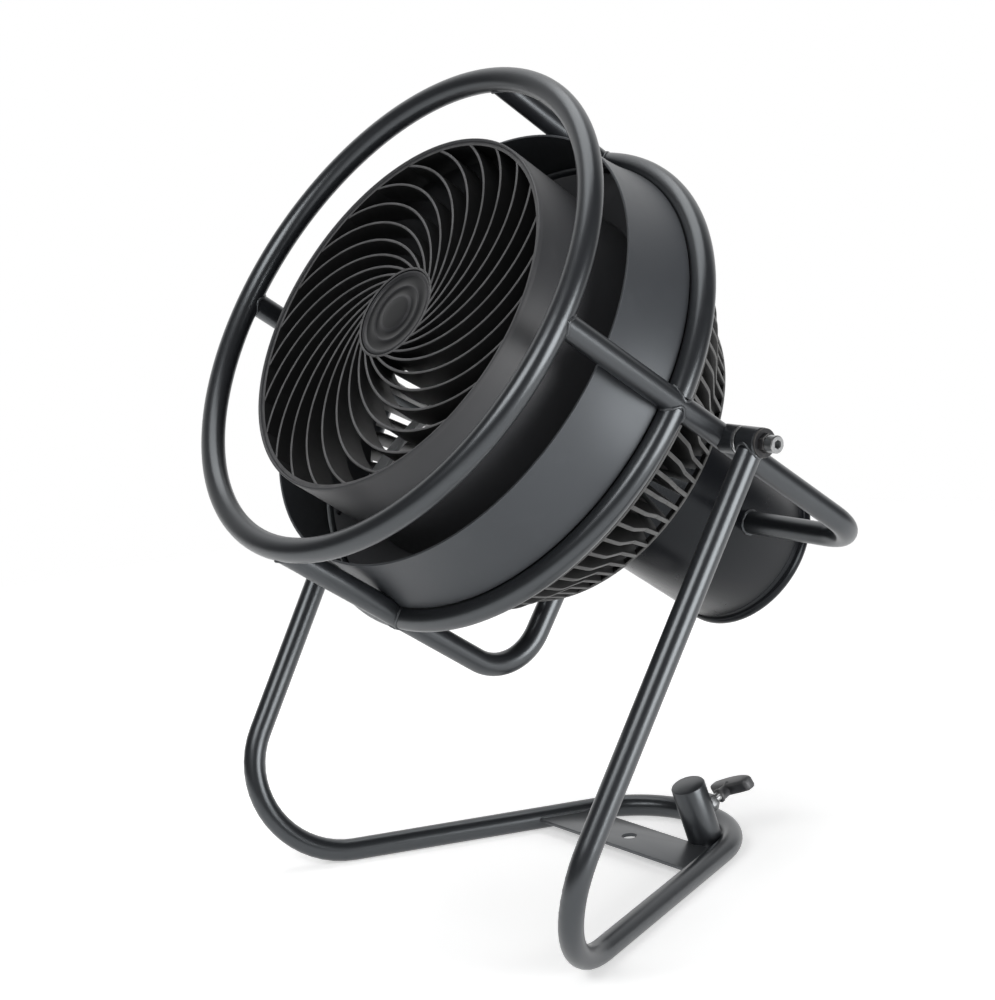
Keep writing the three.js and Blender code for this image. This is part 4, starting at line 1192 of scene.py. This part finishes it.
# ---------- front grille ----------
@dataclass
class FrontGrille:
    """The spiral vanes with their hub and rim, and the ringed badge. Sizes in mm."""

    count: int = 26
    arc_r: float = 101.0
    arc_centre: Pair = (-48.6, 52.6)
    arc_span: Pair = (-31.5, 66.5)
    phase: float = -2.2
    thick: float = 2.0
    front: float = 176.5
    depth: float = 24.0
    hub_r: float = 38.5
    hub_bore: float = 36.5
    seat: Pair = (167.0, 170.0)
    rim_r: float = 147.2
    rim_wall: float = 2.6
    badge_face: float = 170.3
    badge_r: float = 36.2

    def vanes(self) -> Shell:
        """The deep curved vanes.

        Returns:
            All of them, each on one circular arc.
        """
        steps = 30
        (cx, cy), r = self.arc_centre, self.arc_r
        first, last = self.arc_span
        middle = self.front - self.depth / 2
        turns = [math.radians(first + (last - first) * i / steps) for i in range(steps + 1)]
        points = [Vector((cx + r * math.cos(a), cy + r * math.sin(a), middle)) for a in turns]
        headings = [Vector((-math.sin(a), math.cos(a), 0)) for a in turns]
        path = Path(points, headings, Vector((0, 0, 1)))
        vane = Shell().sweep(path, rounded_bar(self.thick, self.depth, 0.55))
        return vane.array(self.count, self.phase)

    def grille(self) -> None:
        """The vanes with the hub cup and the rim, as one moulding."""
        front, back = self.front, self.front - self.depth
        r, bore, seat = self.hub_r, self.hub_bore, self.seat
        hub = [(0, seat[0]), (bore, seat[0]), (bore, back), (r, back), (r, front - 0.5), (r - 0.5, front),
               (bore + 0.5, front), (bore, front - 0.5), (bore, seat[1]), (0, seat[1])]
        r, bore = self.rim_r, self.rim_r - self.rim_wall
        rim = [(bore, back), (r, back), (r, front), (bore, front)]
        shell = self.vanes().add(Shell().revolve(hub, 96)).add(Shell().revolve(rim, 144, True))
        skin(shell, "front_grille", VANE, sharp=40.0)

    def badge(self) -> None:
        """The plain badge of concentric rings."""
        z, r = self.badge_face, self.badge_r
        edge = [(0, z), (r - 0.4, z), (r, z + 0.4), (r, z + 4.6), (r - 0.5, z + 5.3), (r - 1.5, z + 5.6),
                (r - 3.2, z + 5.4), (r - 4.0, z + 4.6), (r - 4.6, z + 4.3)]
        ring = [(r - 12, z + 4.2), (r - 12.6, z + 4.6), (r - 13.4, z + 4.6), (r - 14, z + 4.2)]
        middle = [(16, z + 4.3), (14.8, z + 5.0), (13.5, z + 5.2), (8, z + 5.35), (0, z + 5.5)]
        skin(Shell().revolve([*edge, *ring, *middle], 96), "hub_badge", BADGE, sharp=40.0)

    def build(self) -> None:
        """Builds and dresses the grille and its badge."""
        self.grille()
        self.badge()


# ---------- rear grille ----------
@dataclass
class RearGrille:
    """The deep ribs of the rear guard, with their rim, hoop and collar. Sizes in mm.

    A pair names a radius and a station, two stations, two radii, or the hoop's width and depth.
    """

    count: int = 72
    phase: float = 1.5
    thick: float = 3.5
    depth: float = 19.0
    lip_r: float = 198.5
    lip: Pair = (39.5, 42.0)
    rim_r: float = 189.8
    rim_wall: float = 2.4
    rim_front: float = 57.3
    bow: tuple[Pair, ...] = ((182.0, 25.5), (172.5, 3.5))
    waist: Pair = (150.4, -24.0)
    edge: Pair = (140.4, -46.0)
    foot: Pair = (71.8, -56.0)
    bends: tuple[float, ...] = (40.0, 40.0, 7.0, 4.0)
    inner_bends: tuple[float, ...] = (24.0, 24.0, 12.0, 10.0)
    collar: Pair = (-57.0, -39.0)
    collar_r: Pair = (70.9, 73.8)
    hoop: Pair = (6.0, 2.6)
    lug_at: float = 182.5
    lug_r: Pair = (2.3, 6.0)
    lug_back: float = 54.3
    screw: Pair = (51.6, 63.0)
    screw_r: Pair = (2.0, 3.6)

    def _inside(self, before: Pair, corner: Pair, after: Pair) -> Pair:
        """The point one rib depth inside both edges at a corner.

        Args:
            before: The corner before it.
            corner: The corner.
            after: The corner after it.

        Returns:
            The inner edge's corner.
        """
        runs = [(Vector(b) - Vector(a)).normalized() for a, b in ((before, corner), (corner, after))]
        first, second = (Vector((run.y, -run.x)) for run in runs)
        at = Vector(corner) + (first + second) * (self.depth / (1 + first.dot(second)))
        return at.x, at.y

    def rib(self) -> Shell:
        """One rib: a deep plate that bows in from the rim to a waist, and bends at the edge to the collar.

        Returns:
            The rib, at the angle 0.
        """
        depth = self.depth
        line = [(self.rim_r - 0.2, self.lip[1] - 1.0), *self.bow, self.waist, self.edge, self.foot]
        inner = [(line[0][0] - depth, line[0][1])]
        inner += [self._inside(*line[i - 1:i + 2]) for i in range(1, len(line) - 1)]
        inner += [(line[-1][0], line[-1][1] + depth)]
        outer, inner = (
            bent_path([Vector((r, 0, z)) for r, z in points], radii, Vector((0, 1, 0)), 4).points
            for points, radii in ((line, self.bends), (inner, self.inner_bends))
        )
        shell = Shell().plate([(p.x, p.z) for p in outer + inner[::-1]], -self.thick / 2, self.thick / 2, 0.5)
        return shell.place(Matrix.Rotation(math.pi / 2, 4, "X"))

    def rim(self) -> Shell:
        """The lip in its four stretches between the struts, and the band inside it.

        Returns:
            Both.
        """
        r, (low, high) = self.rim_r, self.lip
        wall, front = self.rim_wall, self.rim_front
        rim = [(r - wall, low + 0.4), (r - wall + 0.4, low), (r, low), (r, front), (r - wall, front)]
        shell = Shell().revolve(rim, 144, True)
        clear = math.degrees(math.asin((TUBE_R + GAP) / self.lip_r)) + 0.1
        width = self.lip_r - r
        for quarter in QUARTERS:
            start = 90.0 * quarter + clear
            path = ring_path(r + width / 2, (low + high) / 2, start, start + 90.0 - 2 * clear, 40)
            shell.add(Shell().sweep(path, rounded_bar(width, high - low, 0.5)))
        return shell

    def inner_rings(self) -> Shell:
        """The collar round the can, and the hoop at the ribs' lower edge.

        Returns:
            Both.
        """
        (back, front), (bore, r) = self.collar, self.collar_r
        collar = [(bore, back + 0.4), (bore + 0.4, back), (r - 0.4, back), (r, back + 0.4), (r, front),
                  (bore, front)]
        width, depth = self.hoop
        hoop = ring_path(self.edge[0] - width / 2, self.edge[1] + depth / 2 - 0.6, 0, 360, 144)
        return Shell().revolve(collar, 96, True).add(Shell().sweep(hoop, rounded_bar(width, depth, 0.6)))

    def lug_place(self, quarter: int) -> Matrix:
        """Where one of the four lugs stands."""
        return about_z(45.0 + 90.0 * quarter) @ Matrix.Translation((self.lug_at, 0, 0))

    def screws(self) -> None:
        """The four screws through the guard's lugs."""
        (back, front), (r, head) = self.screw, self.screw_r
        profile = [(0, back), (r, back), (head - 0.7, back + 0.6), (head, back + 1.6), (head, back + 2.4),
                   (r, back + 2.4), (r, front), (0, front)]
        for quarter in QUARTERS:
            shell = Shell().revolve(profile, 24).place(self.lug_place(quarter))
            skin(shell, f"rear_grille_screw_{quarter + 1}", BLACK_STEEL)

    def build(self) -> None:
        """Builds and dresses the guard."""
        shell = self.rib().array(self.count, self.phase).add(self.rim()).add(self.inner_rings())
        (bore, r), back, front = self.lug_r, self.lug_back, self.rim_front
        lug = [(bore, back), (r, back), (r, front), (bore, front)]
        for quarter in QUARTERS:
            shell.add(Shell().revolve(lug, 24, True).place(self.lug_place(quarter)))
        skin(shell, "rear_grille", RIB, sharp=40.0)
        self.screws()


# ---------- motor ----------
@dataclass
class Motor:
    """The motor can with its rear cap, knob and gland. Sizes in mm."""

    radius: float = 70.5
    wall: float = 2.5
    front: float = 10.0
    neck: float = -239.5
    bead_r: float = 72.9
    back: float = -249.0
    bead: Pair = (2.9, 4.4)
    cap_z: float = -246.0
    cap_r: float = 67.6
    knob_z: Pair = (-262.0, -247.5)
    gland_z: float = -247.4
    gland_y: float = -46.0
    gland_flats: float = 17.8
    inside: tuple[str, ...] = ("motor_front_bracket", "motor_rear_bracket", "motor_stator")

    def can(self) -> None:
        """The drawn can with its rolled rear bead."""
        r, inner, steps = self.radius, self.radius - self.wall, 12
        (high, wide), middle = self.bead, (self.neck + self.back) / 2 - 0.2
        turns = [math.radians(90 - 180 * i / steps) for i in range(steps + 1)]
        curl = [(self.bead_r - high + high * math.cos(a), middle + wide * math.sin(a)) for a in turns]
        groove = [(r, self.neck + 5.0), (r - 0.5, self.neck + 4.2), (r - 0.7, self.neck + 3.4)]
        profile = [(inner, self.front), (r - 0.8, self.front), (r, self.front - 0.8), *groove, *curl,
                   (inner + 1, self.back + 0.2), (inner, self.back + 1.2)]
        skin(Shell().revolve(profile, 128, True), "motor_can", CAN_SHADED, sharp=45.0)

    def cap(self) -> None:
        """The dished rear cap with two pressed rings."""
        z, r = self.cap_z, self.cap_r
        face = [(3.8, z), (22, z), (24, z - 1.0), (27, z - 1.0), (29, z), (58, z), (60, z - 1.2),
                (r - 2, z - 1.2)]
        wall = [(r, z + 0.6), (r, z + 9), (r - 1.5, z + 9), (r - 1.5, z + 1.5), (3.8, z + 1.5)]
        shell = Shell().revolve([*face, *wall], 96, True)
        dress(shell.piece("motor_cap_skin", head_place(), 40.0), CAN_SHADED, Body.HEAD, "motor_rear_cap")

    def knob(self) -> None:
        """The speed knob with its finger grip and spindle."""
        face, back = self.knob_z
        profile = [(0, face), (13.0, face), (14.4, face + 0.7), (15, face + 2.2), (15, back + 4),
                   (16.8, back + 2.4), (17, back + 0.6), (16.6, back), (3, back), (3, -230), (0, -230)]
        bar = Shell().plate([(-13.4, -3), (13.4, -3), (13.4, 3), (-13.4, 3)], face - 2.4, face + 0.5, 0.8)
        skin(Shell().revolve(profile, 64).add(bar), "speed_knob", MOULDED, Body.KNOB)

    def gland(self) -> None:
        """The empty cable gland: a hexagon, a domed nut and a thread."""
        out = self.gland_z
        ring = [(4.2, out - 12.6), (6.2, out - 12.6), (7.3, out - 11.2), (7.5, out - 9), (7.5, out - 4.5),
                (7.5, out + 2), (6.6, out + 2), (6.6, out + 9.5), (4.2, out + 9.5)]
        nut = Shell().plate(hexagon(self.gland_flats), out - 5, out, 0.5)
        shell = Shell().revolve(ring, 40, True).add(nut)
        place = head_place() @ Matrix.Translation((0, self.gland_y, 0))
        skin(shell, "cable_gland", MOULDED, place=place)

    def build(self) -> None:
        """Builds the motor's shell and dresses the CAD nodes inside it."""
        self.can()
        self.cap()
        self.knob()
        self.gland()
        for node in self.inside:
            dress(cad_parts[node], MOTOR, Body.HEAD)
        for node in ("motor_front_bearing", "motor_rear_bearing"):
            dress(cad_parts[node], BRIGHT, Body.HEAD)
        dress(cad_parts["speed_switch"], MOULDED, Body.HEAD)


# ---------- propeller ----------
@dataclass
class Propeller:
    """The hub, the cambered blades and the nut, with the CAD's shaft. Sizes in mm.

    The chord has its length at the hub, its growth outwards and what it loses again at the tip. The
    pitch is the blade's angle at the hub and at the tip, and the sweep is how far the tip runs ahead.
    """

    count: int = 5
    radius: float = 143.3
    hub_r: float = 37.0
    front: float = 94.0
    back: float = 46.0
    middle: float = 74.0
    thick: float = 2.4
    bore: float = 6.3
    wall: float = 2.5
    chord: tuple[float, float, float] = (44.0, 62.0, 22.0)
    pitch: Pair = (46.0, 24.0)
    camber: float = 0.08
    sweep: float = 0.35
    nut_flats: float = 18.8
    nut_high: float = 7.0

    def blade(self) -> Shell:
        """One blade: a grid laid on cylinders about the axis, then given its thickness.

        Returns:
            The blade, at the angle 0.
        """
        shell = Shell()
        chords, spans = 12, 18
        (inner, growth, loss), (low, high) = self.chord, self.pitch
        bmesh.ops.create_grid(shell.bm, x_segments=chords, y_segments=spans, size=0.5)
        for vert in shell.bm.verts:
            along, span = vert.co.x, vert.co.y + 0.5
            radius = self.hub_r - 1 + (self.radius - self.hub_r + 1) * span
            chord = inner + growth * span**0.8 - loss * span**4
            pitch = math.radians(low + (high - low) * span)
            camber = self.camber * chord * (1 - 4 * along * along)
            turn = chord * along * math.cos(pitch) - camber * math.sin(pitch)
            rise = chord * along * math.sin(pitch) + camber * math.cos(pitch)
            angle = turn / radius + self.sweep * span
            vert.co = Vector((radius * math.cos(angle), radius * math.sin(angle), self.middle + rise))
        bmesh.ops.recalc_face_normals(shell.bm, faces=shell.bm.faces)
        bmesh.ops.solidify(shell.bm, geom=shell.bm.faces[:], thickness=self.thick)
        return shell

    def build(self) -> None:
        """Builds and dresses the propeller, its shaft and its nut."""
        front, back, r, bore, w = self.front, self.back, self.hub_r, self.bore, self.wall
        hub = [(bore, front), (28, front), (32, front - 1.2), (35.5, front - 4.5), (r, front - 9), (r, back),
               (r - w, back), (r - w, front - 9), (28, front - w), (13, front - w), (13, back + 16),
               (bore, back + 16)]
        shell = self.blade().array(self.count).add(Shell().revolve(hub, 72, True))
        skin(shell, "propeller", PROP, Body.ROTOR, sharp=40.0)
        nut = Shell().plate(hexagon(self.nut_flats), front + GAP, front + GAP + self.nut_high, 0.6)
        skin(nut, "propeller_nut", BRIGHT, Body.ROTOR)
        dress(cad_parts["rotor_shaft"], MOTOR, Body.ROTOR)


# ---------- studio ----------
@dataclass
class Studio:
    """The camera at the photograph's angle, the floor and the lights."""

    azimuth: float = 53.03
    elevation: float = 11.06
    roll: float = -4.62
    at: Colour = (1.3925, -1.093158, 0.6623)
    lens: float = 81.11
    floor_r: Pair = (0.75, 1.5)
    floor_lift: float = 0.46
    dim: float = 0.07
    ground: Pair = (0.05, 0.3)
    wall: Pair = (0.4, 0.8)
    ambient: float = 0.3

    def camera(self) -> None:
        """Sets the camera that was fitted to the photograph."""
        data = bpy.data.cameras.new("camera")
        data.lens = self.lens
        data.sensor_width = 36.0
        data.clip_start, data.clip_end = 0.05, 200.0
        camera = bpy.data.objects.new("camera", data)
        az, el, ro = (math.radians(v) for v in (self.azimuth, self.elevation, self.roll))
        back = Vector((math.sin(az) * math.cos(el), -math.cos(az) * math.cos(el), math.sin(el)))
        right = Vector((math.cos(az), math.sin(az), 0.0))
        up = back.cross(right)
        x = right * math.cos(ro) + up * math.sin(ro)
        y = up * math.cos(ro) - right * math.sin(ro)
        camera.matrix_world = Matrix.Translation(self.at) @ Matrix((x, y, back)).transposed().to_4x4()
        bpy.context.scene.collection.objects.link(camera)
        bpy.context.scene.camera = camera

    def lamp(self, name: str, at: Colour, aim: Colour, size: Pair, power: float) -> None:
        """Adds one soft rectangular lamp.

        Args:
            name: Its name.
            at: Where it hangs, in metres.
            aim: The point it faces.
            size: Its width and height.
            power: Its power in watts.
        """
        data = bpy.data.lights.new(name, "AREA")
        data.shape = "RECTANGLE"
        data.size, data.size_y = size
        data.energy = power
        lamp = bpy.data.objects.new(name, data)
        lamp.location = at
        lamp.rotation_euler = (Vector(aim) - Vector(at)).to_track_quat("-Z", "Y").to_euler()
        bpy.context.scene.collection.objects.link(lamp)

    def world(self) -> None:
        """White for the eye. Reflections see a white floor and back wall in a dim room."""
        world = bpy.data.worlds.new("studio")
        world.use_nodes = True
        world.node_tree.nodes.clear()
        nodes = Nodes(world.node_tree)
        camera, mirrored = nodes.rays()
        heading = nodes.node("ShaderNodeTexCoord").outputs["Generated"]
        away = (-math.sin(math.radians(self.azimuth)), math.cos(math.radians(self.azimuth)), 0.15)
        below, behind = (
            nodes.ramp(nodes.vector("DOT_PRODUCT", heading, side), *span)
            for side, span in (((0.0, 0.0, -1.0), self.ground), (away, self.wall))
        )
        level = self.dim + (1.0 - self.dim) * (1.0 - (1.0 - below) * (1.0 - behind))
        strength = camera + (1.0 - camera) * (mirrored * level + (1.0 - mirrored) * self.ambient)
        white = nodes.node("ShaderNodeBackground", {}, {"Color": (1.0, 1.0, 1.0, 1.0), "Strength": strength})
        nodes.node("ShaderNodeOutputWorld", {}, {"Surface": white.outputs[0]})
        bpy.context.scene.world = world

    def floor(self) -> None:
        """A white floor that keeps the fan's shadow and fades into the backdrop."""
        shell = Shell()
        bmesh.ops.create_circle(shell.bm, cap_ends=True, segments=96, radius=self.floor_r[1] / MM)
        floor = shell.piece("floor", Matrix.Identity(4))
        paint = Paint("floor_white")
        shader = paint.shader.inputs
        tint = paint.blend(paint.noise(3.0), rgba((0.86,) * 3), rgba((0.88,) * 3))
        paint.feed(shader["Base Color"], tint)
        shader["Roughness"].default_value = 0.9
        shader["Specular IOR Level"].default_value = 0.1
        camera, mirrored = paint.rays()
        lift = paint.blend(camera + mirrored, rgba((0.0,) * 3), rgba((self.floor_lift,) * 3))
        paint.feed(shader["Emission Color"], lift)
        shader["Emission Strength"].default_value = 1.0
        paint.fade(paint.ramp(paint.vector("LENGTH", paint.place), *self.floor_r))
        floor.data.materials.append(paint.material)

    def build(self) -> None:
        """Sets up the whole studio and the view transform."""
        self.camera()
        self.world()
        self.floor()
        self.lamp("left", (0.6, -2.1, 1.9), (0, 0, 0.35), (1.5, 0.9), 30.0)
        self.lamp("right", (2.4, 0.45, 0.4), (0, 0, 0.35), (1.5, 1.3), 50.0)
        self.lamp("top", (-0.4, 0.1, 2.6), (0, 0, 0.3), (1.8, 1.8), 27.0)
        bpy.context.scene.view_settings.view_transform = "Standard"


def corners(box: tuple[Vector, Vector]) -> list[list[float]]:
    """A box's two corners as plain lists."""
    return [[float(v) for v in corner] for corner in box]


def main() -> None:
    """Builds the studio and every sub-assembly."""
    logging.basicConfig(level=logging.INFO, format="%(name)s %(message)s")
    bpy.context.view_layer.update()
    Studio().build()
    parts = (FloorStand(), StandReceiver(), GuardFrame(), TiltPivots(), DrumAndNozzle(), FrontGrille(),
             RearGrille(), Motor(), Propeller())
    for part in parts:
        log.info("building %s", type(part).__name__)
        part.build()


if __name__ == "__main__":
    main()
